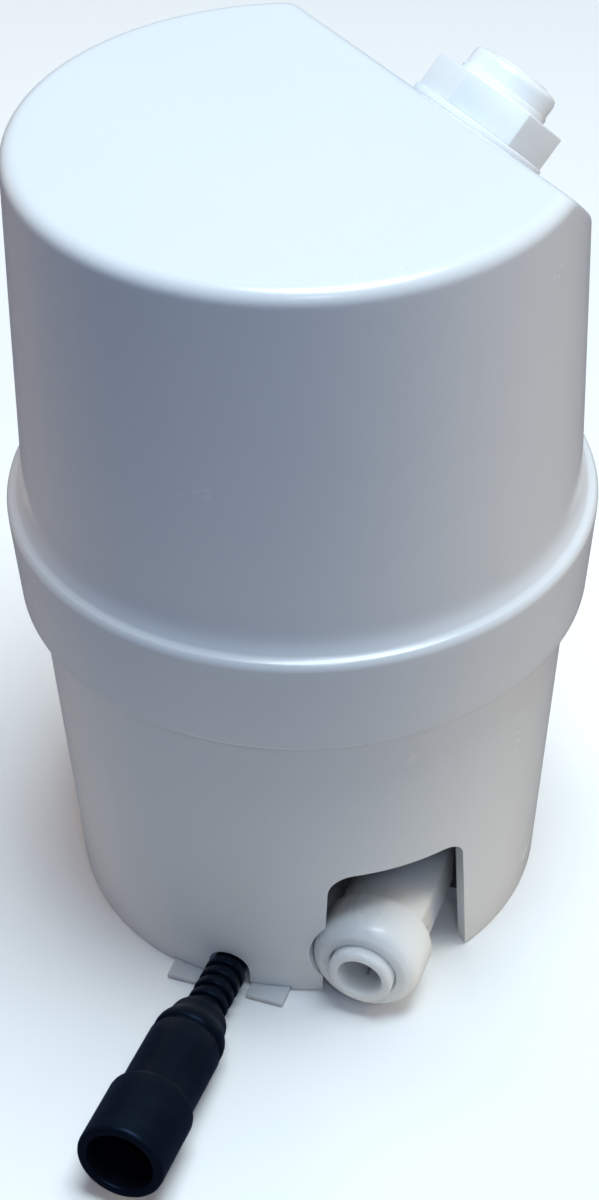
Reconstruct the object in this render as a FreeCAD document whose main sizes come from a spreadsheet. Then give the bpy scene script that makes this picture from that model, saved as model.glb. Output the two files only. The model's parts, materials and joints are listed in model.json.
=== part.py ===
import FreeCAD, Part
import math
import os
import Sketcher

# Powered in-line water filter: a gear pump and its motor stand in the lower cup,
# a cartridge of hollow fibres stands on a deck above them, and the upper cup lifts off.
# Frame: +Z up, origin at the centre of the lower cup's rim, where it meets the ground.
# The inlet fitting and the power socket point along -Y.

Vector = FreeCAD.Vector
Rotation = FreeCAD.Rotation
Placement = FreeCAD.Placement

doc = FreeCAD.newDocument("pump_water_filter")
sheet = doc.addObject("Spreadsheet::Sheet", "dims")

drivingSizes = {
    # lower cup
    "rimRadius": 35.1,
    "seamRadius": 38.2,
    "seamHeight": 52.9,
    "cupWall": 2.4,
    "spigotTop": 66.8,
    "spigotBore": 34.9,
    "ledgeBore": 32.5,
    "ledgeTop": 53.0,
    "sealHeight": 60.0,
    "sealSection": 1.0,
    "notchLeftFoot": 11.75,
    "notchRightFoot": 11.55,
    "notchLeftTop": 11.3,
    "notchRightTop": 9.6,
    "notchHeight": 24.8,
    "notchCorner": 3.5,
    "notchAzimuth": 42.0,
    "bossRadius": 3.4,
    # upper cup
    "skirtBottom": 40.6,
    "collarRadius": 41.5,
    "collarHeight": 67.9,
    "shoulderRadius": 39.0,
    "shoulderHeight": 74.5,
    "topRadius": 37.9,
    "topHeight": 123.0,
    "upperWall": 2.2,
    "skirtBore": 38.6,
    "edgeRound": 2.2,
    "facetChord": 19.1,
    "facetAzimuth": 142.0,
    "facetSlope": 45.0,
    # base plate and its tongue
    "plateRadius": 32.4,
    "plateBottom": 0.0,
    "plateTop": 2.6,
    "tongueWidth": 18.0,
    "tongueReach": 37.4,
    "tongueThick": 0.9,
    # push-fit fittings for a tube of 6.35 mm
    "tubeBore": 3.25,
    "colletSkirt": 3.95,
    "colletFlange": 4.8,
    "colletToe": 4.3,
    "colletDepth": 8.5,
    "gripDepth": 10.4,
    "tubeSealDepth": 11.35,
    "chamberRadius": 4.9,
    "flangePocket": 5.0,
    "flowRadius": 2.3,
    "inletX": 20.1,
    "inletZ": 8.3,
    "inletFace": 34.0,
    "inletBarrel": 8.15,
    "inletFlats": 12.3,
    "portThread": 4.85,
    "unionSlant": 13.0,
    "unionThread": 6.75,
    "unionEnd": 6.55,
    "unionReach": 9.9,
    "nutFlats": 17.4,
    "nutThick": 5.0,
    "nutTurn": 11.0,
    "washerRadius": 10.3,
    "washerThick": 1.1,
    # power socket
    "socketZ": 3.45,
    "socketTilt": 6.6,
    "reliefRadius": 3.0,
    "socketBody": 5.4,
    "sleeveRadius": 6.25,
    "sleeveBore": 4.75,
    "socketLength": 41.3,
    "contactPitch": 2.6,
    "contactRadius": 0.65,
    "leadRadius": 0.62,
    # pump and motor
    "pumpFloor": 5.0,
    "pumpTop": 13.2,
    "coverTop": 16.6,
    "gearModule": 1.0,
    "gearTeeth": 10,
    "shaftRadius": 1.2,
    "idlerPinRadius": 1.5,
    "motorRadius": 12.2,
    "motorTop": 47.4,
    "riserX": -20.0,
    "riserY": 5.0,
    "poppetTop": 13.9,
    "barbShelf": 18.0,
    "springRadius": 2.3,
    "springWire": 0.22,
    # filter
    "deckThick": 3.0,
    "cartridgeRadius": 31.0,
    "cartridgeBottom": 56.2,
    "cartridgeTop": 90.5,
    "spigotRadius": 4.95,
    "spigotSocket": 5.05,
    "capThick": 4.6,
    "cartridgeWall": 1.8,
    "fibreRadius": 2.0,
    "elbowRadius": 7.2,
}


def asSize(number):
    if isinstance(number, Size):
        return number
    return Size(number, repr(float(number)))


# A length together with the spreadsheet formula that gives it.
class Size:
    def __init__(self, value, formula):
        self.value = float(value)
        self.formula = formula

    def __add__(self, other):
        other = asSize(other)
        return Size(self.value + other.value, f"({self.formula} + {other.formula})")

    def __sub__(self, other):
        other = asSize(other)
        return Size(self.value - other.value, f"({self.formula} - {other.formula})")

    def __mul__(self, other):
        other = asSize(other)
        return Size(self.value * other.value, f"({self.formula} * {other.formula})")

    def __truediv__(self, other):
        other = asSize(other)
        return Size(self.value / other.value, f"({self.formula} / {other.formula})")

    def __neg__(self):
        return self * -1

    __radd__ = __add__
    __rmul__ = __mul__

    def __rsub__(self, other):
        return asSize(other) - self


class Sizes:
    pass


size = Sizes()
for row, (name, number) in enumerate(drivingSizes.items(), start=1):
    sheet.set(f"A{row}", name)
    sheet.set(f"B{row}", str(number))
    sheet.setAlias(f"B{row}", name)
    setattr(size, name, Size(number, f"dims.{name}"))
doc.recompute()

subParts = []


def bind(target, prop, amount):
    target.setExpression(prop, asSize(amount).formula)


def newBody(label, place=None):
    body = doc.addObject("PartDesign::Body", label)
    body.Label = label
    if place is not None:
        body.Placement = place
    return body


def keep(item):
    subParts.append(item)
    return item


def relabel(item, label):
    item.Label = label
    return item


def planeOf(body, role):
    return next(plane for plane in body.Origin.OriginFeatures if plane.Role == role)


def newSketch(body, role="XY_Plane", lift=0):
    sketch = body.newObject("Sketcher::SketchObject", f"{body.Label}_sketch")
    sketch.AttachmentSupport = (planeOf(body, role), "")
    sketch.MapMode = "FlatFace"
    bind(sketch, "AttachmentOffset.Base.z", lift)
    return sketch


def pin(sketch, kind, item, point, amount):
    amount = asSize(amount)
    index = sketch.addConstraint(Sketcher.Constraint(kind, -1, 1, item, point, amount.value))
    sketch.setExpression(f"Constraints[{index}]", amount.formula)


def drawOutline(sketch, points):
    corners = [(asSize(x), asSize(y)) for x, y in points]
    first = sketch.GeometryCount
    count = len(corners)
    for index, (x, y) in enumerate(corners):
        nextX, nextY = corners[(index + 1) % count]
        start = Vector(x.value, y.value, 0)
        sketch.addGeometry(Part.LineSegment(start, Vector(nextX.value, nextY.value, 0)), False)
    for index, (x, y) in enumerate(corners):
        following = first + (index + 1) % count
        sketch.addConstraint(Sketcher.Constraint("Coincident", first + index, 2, following, 1))
        pin(sketch, "DistanceX", first + index, 1, x)
        pin(sketch, "DistanceY", first + index, 1, y)


def drawCircle(sketch, x, y, radius):
    x, y, radius = asSize(x), asSize(y), asSize(radius)
    circle = Part.Circle(Vector(x.value, y.value, 0), Vector(0, 0, 1), radius.value)
    item = sketch.addGeometry(circle, False)
    index = sketch.addConstraint(Sketcher.Constraint("Radius", item, radius.value))
    sketch.setExpression(f"Constraints[{index}]", radius.formula)
    pin(sketch, "DistanceX", item, 3, x)
    pin(sketch, "DistanceY", item, 3, y)


def revolve(body, points, kind="Revolution"):
    sketch = newSketch(body, "XZ_Plane")
    drawOutline(sketch, points)
    feature = body.newObject(f"PartDesign::{kind}", f"{body.Label}_{kind.lower()}")
    feature.Profile = sketch
    feature.ReferenceAxis = (sketch, ["V_Axis"])
    feature.Angle = 360
    doc.recompute()
    return feature


# A piece with a round section about its own Z axis; each point is (radius, height).
def turned(label, points, place=None):
    body = newBody(label, place)
    revolve(body, points)
    return keep(body)


def tube(label, outer, inner, low, high, place=None):
    return turned(label, [(inner, low), (outer, low), (outer, high), (inner, high)], place)


def disc(label, radius, low, high, place=None):
    return tube(label, radius, 0, low, high, place)


def pad(body, draw, low, height):
    sketch = newSketch(body, lift=low)
    draw(sketch)
    feature = body.newObject("PartDesign::Pad", f"{body.Label}_pad")
    feature.Profile = sketch
    bind(feature, "Length", height)
    doc.recompute()
    return feature


# Cuts upwards from the sketch and checks that material really went.
def pocket(body, draw, low, height):
    before = body.Shape.Volume
    sketch = newSketch(body, lift=low)
    draw(sketch)
    feature = body.newObject("PartDesign::Pocket", f"{body.Label}_pocket")
    feature.Profile = sketch
    feature.Reversed = True
    bind(feature, "Length", height)
    doc.recompute()
    if body.Shape.Volume > before - 1e-6:
        raise RuntimeError(f"a pocket in {body.Label} cuts nothing")
    return feature


def polarPattern(body, feature, count):
    pattern = body.newObject("PartDesign::PolarPattern", f"{body.Label}_pattern")
    pattern.Originals = [feature]
    pattern.Axis = (planeOf(body, "Z_Axis"), [""])
    pattern.Angle = 360
    pattern.Occurrences = count
    body.Tip = pattern
    doc.recompute()
    return pattern


def rectangle(left, right, front, back):
    return lambda sketch: drawOutline(sketch, [(left, front), (right, front), (right, back), (left, back)])


def circle(x, y, radius):
    return lambda sketch: drawCircle(sketch, x, y, radius)


def hexagon(flats, turn=0):
    corner = flats / math.sqrt(3)
    angles = [math.radians(turn + 60 * side) for side in range(6)]
    return lambda sketch: drawOutline(
        sketch, [(corner * math.cos(angle), corner * math.sin(angle)) for angle in angles])


def block(label, left, right, front, back, low, high, place=None):
    item = doc.addObject("Part::Box", label)
    bind(item, "Length", asSize(right) - left)
    bind(item, "Width", asSize(back) - front)
    bind(item, "Height", asSize(high) - low)
    if place is not None:
        item.Placement = place.multiply(at(left, front, low))
        return item
    for axis, start in zip("xyz", (left, front, low)):
        bind(item, f"Placement.Base.{axis}", start)
    return item


def rod(label, radius, length, place):
    item = doc.addObject("Part::Cylinder", label)
    bind(item, "Radius", radius)
    bind(item, "Height", length)
    item.Placement = place
    return item


def ball(label, radius, spot):
    item = doc.addObject("Part::Sphere", label)
    bind(item, "Radius", radius)
    item.Placement = Placement(spot, Rotation())
    return item


def ring(label, centreRadius, section, place=None):
    item = doc.addObject("Part::Torus", label)
    bind(item, "Radius1", centreRadius)
    bind(item, "Radius2", section)
    if place is not None:
        item.Placement = place
    return keep(item)


def join(label, items):
    fused = doc.addObject("Part::MultiFuse", label)
    fused.Shapes = items
    doc.recompute()
    return fused


def cut(label, base, tools):
    result = doc.addObject("Part::Cut", label)
    result.Base = base
    result.Tool = tools[0] if len(tools) == 1 else join(f"{label}_tools", tools)
    result.Label = label
    doc.recompute()
    return result


def rounded(label, base, wanted, radius):
    result = doc.addObject("Part::Fillet", label)
    result.Base = base
    chosen = [index for index, edge in enumerate(base.Shape.Edges, start=1) if wanted(edge)]
    result.Edges = [(index, asSize(radius).value, asSize(radius).value) for index in chosen]
    result.Label = label
    doc.recompute()
    return result


# Identical pieces share one sub-part as a group of separate solids.
def copies(label, source, places):
    group = doc.addObject("Part::Feature", label)
    pieces = []
    for place in places:
        piece = source.Shape.copy()
        piece.Placement = place.multiply(piece.Placement)
        pieces.append(piece)
    group.Shape = Part.makeCompound(pieces)
    group.Label = label
    return keep(group)


def at(x=0, y=0, z=0, rotation=None):
    spot = Vector(asSize(x).value, asSize(y).value, asSize(z).value)
    return Placement(spot, rotation or Rotation())


def azimuthDirection(degrees):
    angle = math.radians(degrees)
    return Vector(math.sin(angle), -math.cos(angle), 0)


def aroundAxis(radius, azimuth, z=0):
    spot = azimuthDirection(azimuth) * asSize(radius).value
    return at(spot.x, spot.y, z)


forward = Rotation(Vector(1, 0, 0), 90)
upsideDown = Rotation(Vector(1, 0, 0), 180)
alongX = Rotation(Vector(0, 1, 0), 90)

# ---- shared places ----
facetDirection = azimuthDirection(drivingSizes["facetAzimuth"])
facetYaw = math.degrees(math.atan2(facetDirection.y, facetDirection.x))
facetTurn = Rotation(Vector(0, 0, 1), facetYaw).multiply(
    Rotation(Vector(0, 1, 0), drivingSizes["facetSlope"]))
slope = math.radians(drivingSizes["facetSlope"])
unionRadius = drivingSizes["facetChord"] + drivingSizes["unionSlant"] * math.cos(slope)
unionHeight = drivingSizes["topHeight"] - drivingSizes["unionSlant"] * math.sin(slope)
unionSpot = facetDirection * unionRadius + Vector(0, 0, unionHeight)
unionPlace = Placement(unionSpot, facetTurn)
unionAxis = facetTurn.multVec(Vector(0, 0, 1))
elbowReach = 13.0
elbowSpot = unionSpot - unionAxis * elbowReach
inletPlace = at(size.inletX, -size.inletFace, size.inletZ, forward)
socketWall = drivingSizes["rimRadius"] + 0.2
socketPlace = at(0, -socketWall, size.socketZ, Rotation(Vector(1, 0, 0), 90 - drivingSizes["socketTilt"]))
gearDistance = drivingSizes["gearModule"] * drivingSizes["gearTeeth"]
gearPitchRadius = gearDistance / 2
gearAddendum = 0.85 * drivingSizes["gearModule"]
meshY = gearDistance / 2
pinFoot = 3.7
portFace = -9.0
baseScrewAzimuths = [-50.0, 125.0, 215.0]
baseScrewRadius = 28.0
deckScrewAzimuths = [0.0, 120.0, 240.0]
deckScrewRadius = 31.4
ventAzimuths = [60.0, 100.0, 140.0]
ventRadius = 20.0
screwRadius = 1.5
screwHeadRadius = 2.9
screwHeadHeight = 1.4
pumpScrewSpots = [(-10, -5), (10, -5), (-10, 15), (10, 15)]


def outerRadiusAt(height):
    return size.rimRadius + (size.seamRadius - size.rimRadius) * (asSize(height) / size.seamHeight)


# ---- lower cup ----
def makeLowerCup():
    ledgeRise = 3.0
    underLedge = size.ledgeTop - 3.5
    grooveDepth = 1.62
    grooveHalf = size.sealSection + 0.1
    shell = newBody("lower_cup_shell")
    revolve(shell, [
        (size.rimRadius - size.cupWall, 0),
        (size.rimRadius, 0),
        (size.seamRadius, size.seamHeight),
        (size.seamRadius, size.sealHeight - grooveHalf),
        (size.seamRadius - grooveDepth, size.sealHeight - grooveHalf),
        (size.seamRadius - grooveDepth, size.sealHeight + grooveHalf),
        (size.seamRadius, size.sealHeight + grooveHalf),
        (size.seamRadius, size.spigotTop - 0.6),
        (size.seamRadius - 0.6, size.spigotTop),
        (size.spigotBore, size.spigotTop),
        (size.spigotBore, size.ledgeTop),
        (size.ledgeBore, size.ledgeTop),
        (size.ledgeBore, underLedge),
        (outerRadiusAt(underLedge - ledgeRise) - size.cupWall, underLedge - ledgeRise),
    ])
    bossLength = 12
    bosses = []
    for azimuth in baseScrewAzimuths:
        place = aroundAxis(baseScrewRadius, azimuth, size.plateTop)
        bosses.append(rod("base_boss", size.bossRadius, bossLength, place))
        place.Rotation = Rotation(Vector(0, 0, 1), azimuth - 90)
        bosses.append(block("base_boss_web", 2, 6, -1.0, 1.0, 0, bossLength, place))
    for azimuth in deckScrewAzimuths:
        place = aroundAxis(deckScrewRadius, azimuth, size.ledgeTop - bossLength)
        bosses.append(rod("deck_boss", size.bossRadius - 0.2, bossLength, place))
    solid = join("lower_cup_solid", [shell] + bosses)

    notchTurn = Rotation(Vector(0, 0, 1), drivingSizes["notchAzimuth"]).multiply(forward)
    notchShape = newBody("notch_shape", Placement(Vector(), notchTurn))
    pad(notchShape, lambda sketch: drawOutline(sketch, [
        (-size.notchLeftFoot, -1),
        (size.notchRightFoot, -1),
        (size.notchRightTop, size.notchHeight),
        (-size.notchLeftTop, size.notchHeight),
    ]), 20, 30)
    notch = rounded("notch", notchShape, isNotchCorner, size.notchCorner)
    inletRelief = rod("inlet_relief", size.inletBarrel + 0.08, 20, at(size.inletX, -22, size.inletZ, forward))
    slotHalf = size.tongueWidth / 2 + 0.2
    tongueSlot = block("tongue_slot", -slotHalf, slotHalf, -50, -25, -1, size.tongueThick + 0.1)
    reliefHalf = size.reliefRadius + 0.15
    reliefSlot = block("relief_slot", -reliefHalf, reliefHalf, -50, -25, -1, size.socketZ)
    reliefArch = rod("relief_arch", reliefHalf, 25, at(0, -25, size.socketZ, forward))
    tools = [notch, inletRelief, tongueSlot, reliefSlot, reliefArch]
    for azimuth in baseScrewAzimuths:
        tools.append(rod("base_pilot", screwRadius, 10, aroundAxis(baseScrewRadius, azimuth, 0)))
    for azimuth in deckScrewAzimuths:
        place = aroundAxis(deckScrewRadius, azimuth, size.ledgeTop - 8)
        tools.append(rod("deck_pilot", screwRadius, 20, place))
    keep(cut("lower_cup", solid, tools))


# The two upper edges of the notch that run outwards through the wall.
def isNotchCorner(edge):
    ends = [vertex.Point for vertex in edge.Vertexes]
    along = (ends[1] - ends[0]).normalize()
    outward = azimuthDirection(drivingSizes["notchAzimuth"])
    return min(ends[0].z, ends[1].z) > 1 and abs(along.dot(outward)) > 0.9


# ---- upper cup ----
def makeUpperCup():
    facetSize = 120
    shell = newBody("upper_cup_shell")
    revolve(shell, [
        (0, size.seamHeight),
        (size.skirtBottom, size.seamHeight),
        (size.collarRadius - 0.15, size.collarHeight - 1.6),
        (size.collarRadius, size.collarHeight - 0.8),
        (size.collarRadius - 0.45, size.collarHeight + 0.35),
        (size.collarRadius - 1.2, size.collarHeight + 1.5),
        (size.shoulderRadius + 0.45, size.collarHeight + 3.4),
        (size.shoulderRadius + 0.1, size.collarHeight + 4.9),
        (size.shoulderRadius, size.shoulderHeight),
        (size.topRadius, size.topHeight),
        (0, size.topHeight),
    ])
    facet = doc.addObject("Part::Box", "facet_tool")
    facet.Length, facet.Width, facet.Height = facetSize, facetSize, facetSize
    centre = facetDirection * drivingSizes["facetChord"] + Vector(0, 0, drivingSizes["topHeight"])
    corner = facetTurn.multVec(Vector(-facetSize / 2, -facetSize / 2, 0))
    facet.Placement = Placement(centre + corner, facetTurn)
    faceted = cut("upper_cup_faceted", shell, [facet])
    outside = rounded("upper_cup_outside", faceted, isCupEdge, size.edgeRound)

    hollow = newBody("upper_cup_hollow")
    revolve(hollow, [
        (0, size.seamHeight - 1),
        (size.skirtBore, size.seamHeight - 1),
        (size.skirtBore, size.spigotTop - 0.4),
        (size.shoulderRadius - size.upperWall, size.spigotTop + 5),
        (size.topRadius - size.upperWall, size.topHeight - size.upperWall),
        (0, size.topHeight - size.upperWall),
    ])
    innerFacet = doc.addObject("Part::Box", "inner_facet_tool")
    innerFacet.Length, innerFacet.Width, innerFacet.Height = facetSize, facetSize, facetSize
    inward = unionAxis * -drivingSizes["upperWall"]
    innerFacet.Placement = Placement(centre + corner + inward, facetTurn)
    inside = cut("upper_cup_inside", hollow, [innerFacet])
    unionHole = rod("union_hole", size.unionThread + 0.1, 10,
                    Placement(unionSpot - unionAxis * 5, facetTurn))
    keep(cut("upper_cup", outside, [inside, unionHole]))


# The top rim and the four sides of the facet.
def isCupEdge(edge):
    middle = edge.valueAt((edge.FirstParameter + edge.LastParameter) / 2)
    return middle.z > 90


# ---- base plate ----
def makeBasePlate():
    body = newBody("base_plate")
    pad(body, circle(0, 0, size.plateRadius), size.plateBottom, size.plateTop - size.plateBottom)
    pad(body, rectangle(-size.tongueWidth / 2, size.tongueWidth / 2, -size.tongueReach, -26),
        0, size.tongueThick)
    pocket(body, rectangle(12.5, 34, -34, portFace + 0.2), -1, 5)
    channel = size.reliefRadius + 0.3
    pocket(body, rectangle(-channel, channel, -38, -23), -1, 5)
    for azimuth in baseScrewAzimuths:
        spot = aroundAxis(baseScrewRadius, azimuth).Base
        pocket(body, circle(spot.x, spot.y, screwRadius + 0.1), -1, 5)
        pocket(body, circle(spot.x, spot.y, screwHeadRadius + 0.1), -1, 1 + screwHeadHeight)
    for x, y in pumpScrewSpots:
        pocket(body, circle(x, y, screwRadius + 0.1), -1, 5)
        pocket(body, circle(x, y, screwHeadRadius + 0.1), -1, 1 + screwHeadHeight)
    keep(body)


def makeScrew(label, length):
    body = newBody(label)
    revolve(body, [(0, 0), (screwHeadRadius, 0), (screwHeadRadius, 0.4),
                   (screwRadius, screwHeadHeight), (screwRadius, length - 1), (0.6, length), (0, length)])
    pocket(body, rectangle(-0.35, 0.35, -1.5, 1.5), -0.1, 0.9)
    pocket(body, rectangle(-1.5, 1.5, -0.35, 0.35), -0.1, 0.9)
    return body


def makeScrews():
    baseScrew = makeScrew("base_screw", 9.0)
    copies("base_screws", baseScrew,
           [aroundAxis(baseScrewRadius, azimuth, size.plateBottom) for azimuth in baseScrewAzimuths])
    pumpScrew = makeScrew("pump_screw", 15.0)
    copies("pump_screws", pumpScrew, [at(x, y, size.plateBottom) for x, y in pumpScrewSpots])
    deckScrew = makeScrew("deck_screw", 9.5)
    copies("deck_screws", deckScrew,
           [Placement(aroundAxis(deckScrewRadius, azimuth, size.ledgeTop + size.deckThick).Base, upsideDown)
            for azimuth in deckScrewAzimuths])


# ---- gear pump ----
def makePumpBody():
    chamber = gearPitchRadius + gearAddendum + 0.12
    way = 2.6
    casting = join("pump_casting", [
        block("pump_block", -14, 14, -9, 19, size.plateTop, size.pumpTop),
        block("pump_inlet_arm", 12, 30.2, portFace, 10, size.plateTop, size.inletZ + 7.3),
        block("pump_outlet_arm", size.riserX - 6, -12, -1, 11, size.plateTop, 18),
    ])
    inletTop = block("pump_cover_seat", -14.15, 15.3, -12, 25, size.pumpTop, 30)
    tools = [
        inletTop,
        rod("drive_chamber", chamber, 30, at(0, 0, size.pumpFloor)),
        rod("idler_chamber", chamber, 30, at(0, gearDistance, size.pumpFloor)),
        rod("shaft_foot", size.shaftRadius + 0.05, 10, at(0, 0, pinFoot)),
        rod("idler_foot", size.idlerPinRadius, 10, at(0, gearDistance, pinFoot)),
        rod("inlet_thread", size.portThread, 9, at(size.inletX, portFace + 8, size.inletZ, forward)),
        rod("inlet_way", way, 16, at(size.inletX, meshY + 1, size.inletZ, forward)),
        rod("suction_way", way, size.inletX - 2, at(2, meshY, size.inletZ, alongX)),
        rod("pressure_way", way, -size.riserX - 2, at(size.riserX, meshY, size.inletZ, alongX)),
        rod("riser_way", 2.5, 12, at(size.riserX, size.riserY, 6.2)),
        rod("valve_chamber", 4.0, 12, at(size.riserX, size.riserY, 12.2)),
    ]
    for x, y in pumpScrewSpots:
        tools.append(rod("pump_screw_way", screwRadius, 30, at(x, y, 0)))
    keep(cut("pump_body", casting, tools))


def makePumpCover():
    body = newBody("pump_cover")
    pad(body, rectangle(-14, 14, -9, 19), size.pumpTop, size.coverTop - size.pumpTop)
    pocket(body, circle(0, 0, size.shaftRadius + 0.05), size.pumpTop - 1, 6)
    pocket(body, circle(0, 0, 3.5), size.pumpTop + 1, 6)
    pocket(body, circle(0, gearDistance, size.idlerPinRadius), size.pumpTop - 1, 2.8)
    for x, y in pumpScrewSpots:
        pocket(body, circle(x, y, screwRadius), size.pumpTop - 1, 3.5)
    keep(body)
    tube("shaft_seal", 3.48, size.shaftRadius + 0.03, size.pumpTop + 1.02, size.coverTop - 0.1)
    disc("idler_pin", size.idlerPinRadius, pinFoot, size.pumpTop + 1.7, at(0, gearDistance, 0))


# One involute tooth, symmetrical about the +X axis and thinned for backlash.
def toothOutline(root):
    pressureAngle = math.radians(25)
    base = gearPitchRadius * math.cos(pressureAngle)
    tip = gearPitchRadius + gearAddendum
    backlash = 0.12
    halfTooth = math.pi / (2 * drivingSizes["gearTeeth"]) - backlash / (2 * gearPitchRadius)

    def involute(angle):
        return math.tan(angle) - angle

    flank = []
    steps = 5
    for step in range(steps + 1):
        radius = base + (tip - base) * step / steps
        roll = math.acos(min(1.0, base / radius))
        angle = halfTooth + involute(pressureAngle) - involute(roll)
        flank.append((radius * math.cos(angle), radius * math.sin(angle)))
    footAngle = halfTooth + involute(pressureAngle)
    inner = root - 0.3
    foot = [(inner * math.cos(footAngle), inner * math.sin(footAngle))]
    upper = foot + flank
    return upper + [(x, -y) for x, y in reversed(upper)]


def makeGear(label, bore, turn, place):
    root = gearPitchRadius - 1.1 * drivingSizes["gearModule"]
    gearHeight = size.pumpTop - size.pumpFloor - 0.2
    low = size.pumpFloor + 0.1
    body = newBody(label, Placement(place.Base, Rotation(Vector(0, 0, 1), turn)))
    pad(body, circle(0, 0, root), low, gearHeight)
    tooth = pad(body, lambda sketch: drawOutline(sketch, toothOutline(root)), low, gearHeight)
    polarPattern(body, tooth, drivingSizes["gearTeeth"])
    pocket(body, circle(0, 0, bore), low - 1, gearHeight + 2)
    keep(body)


def makeGears():
    toothPitch = 360 / drivingSizes["gearTeeth"]
    makeGear("drive_gear", size.shaftRadius, 90, at())
    makeGear("idler_gear", size.idlerPinRadius + 0.05, -90 + toothPitch / 2, at(0, gearDistance, 0))


# ---- check valve and riser ----
def barb(foot, step, count):
    points = []
    for index in range(count):
        points += [(3.2, foot + index * step), (2.6, foot + (index + 1) * step)]
    return points


def makeRiser():
    place = at(size.riserX, size.riserY, 0)
    turned("check_poppet", [
        (0, 12.0),
        (1.9, 12.0),
        (3.6, 13.5),
        (3.6, size.poppetTop),
        (1.2, size.poppetTop),
        (1.2, 15.0),
        (0, 15.0),
    ], place)
    turned("check_seat", [(2.2, 12.2), (3.98, 12.2), (3.98, 13.3), (3.7, 13.3)], place)
    makeSpring(place)
    shelf = size.barbShelf
    turned("outlet_barb", [
        (1.6, 16.4),
        (4.0, 16.4),
        (4.0, shelf),
        (5.6, shelf),
        (5.6, shelf + 2),
        (2.6, shelf + 2),
    ] + barb(shelf + 3, 2.4, 3) + [(1.6, shelf + 10.2)], place)
    tube("riser_tube", 4.8, 3.25, shelf + 2.1, size.ledgeTop - 4.7, place)


def makeSpring(place):
    coil = doc.addObject("Part::Helix", "check_spring_path")
    foot = size.poppetTop + 0.25
    bind(coil, "Radius", size.springRadius)
    coil.Pitch = 0.7
    coil.Height = 1.95
    coil.Placement = at(0, 0, foot)
    wire = doc.addObject("Part::Circle", "check_spring_wire")
    bind(wire, "Radius", size.springWire)
    wire.Placement = at(size.springRadius, 0, foot, forward)
    doc.recompute()
    spring = doc.addObject("Part::Sweep", "check_spring")
    spring.Sections = [wire]
    spring.Spine = (coil, [f"Edge{index + 1}" for index in range(len(coil.Shape.Edges))])
    spring.Solid = True
    spring.Frenet = True
    spring.Placement = place
    doc.recompute()
    keep(spring)


# ---- motor ----
def makeMotor():
    canTop = size.motorTop - 1
    canWall = 1.0
    turned("motor_can", [
        (3.0, size.coverTop), (size.motorRadius, size.coverTop), (size.motorRadius, canTop),
        (size.motorRadius - canWall, canTop), (size.motorRadius - canWall, size.coverTop + canWall),
        (3.0, size.coverTop + canWall),
    ])
    bush = size.shaftRadius + 0.04
    tube("front_bearing", 3.0, bush, size.coverTop + 0.05, size.coverTop + 2.6)
    tube("rear_bearing", 3.0, bush, size.motorTop - 2.4, size.motorTop)

    inside = size.motorRadius - canWall - 0.05
    magnetFoot = 21
    magnetTop = 42
    magnets = newBody("magnet_ring")
    revolve(magnets, [(inside - 2, magnetFoot), (inside, magnetFoot), (inside, magnetTop),
                      (inside - 2, magnetTop)])
    gap = block("magnet_gap", -3.0, 3.0, -20, 20, magnetFoot - 1, magnetTop + 1)
    keep(cut("motor_magnets", magnets, [gap]))

    cap = newBody("end_cap_disc")
    capFoot = size.motorTop - 2.4
    revolve(cap, [(3.0, capFoot), (inside, capFoot), (inside, size.motorTop), (3.0, size.motorTop)])
    holders = [block("brush_holder", side * 7.9 - 1.3, side * 7.9 + 1.3, -1.8, 1.8,
                     size.motorTop - 5.2, size.motorTop - 2.3) for side in (-1, 1)]
    slots = [block("terminal_slot", side * 6.0 - 1.3, side * 6.0 + 1.3, -5.3, -4.7, 40, 60)
             for side in (-1, 1)]
    keep(cut("motor_end_cap", join("end_cap_solid", [cap] + holders), slots))

    brush = block("brush", 2.75, 6.55, -1.1, 1.1, size.motorTop - 5.0, size.motorTop - 3.2)
    doc.recompute()
    half = Placement(Vector(), Rotation(Vector(0, 0, 1), 180))
    copies("motor_brushes", brush, [Placement(), half])
    terminal = block("terminal", -1.2, 1.2, -5.25, -4.75, size.motorTop - 2.4, size.motorTop + 3)
    doc.recompute()
    copies("motor_terminals", terminal, [at(-6), at(6)])


def makeRotor():
    disc("motor_shaft", size.shaftRadius, pinFoot + 0.1, size.motorTop + 0.5)
    coreFoot = 24
    coreHeight = 15
    core = newBody("rotor_core")
    pad(core, circle(0, 0, 8.7), coreFoot, coreHeight)
    slot = pocket(core, rectangle(3.6, 9, -2.4, 2.4), coreFoot - 1, coreHeight + 2)
    polarPattern(core, slot, 3)
    pocket(core, circle(0, 0, size.shaftRadius), coreFoot - 1, coreHeight + 2)
    keep(core)
    coil = block("coil", 3.9, 8.2, -2.2, 2.2, coreFoot - 2.2, coreFoot + coreHeight + 2)
    doc.recompute()
    copies("rotor_windings", coil, [Placement(Vector(), Rotation(Vector(0, 0, 1), 120 * turn))
                                    for turn in range(3)])
    tube("commutator", 2.65, size.shaftRadius, size.motorTop - 5.9, size.motorTop - 2.7)


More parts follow.
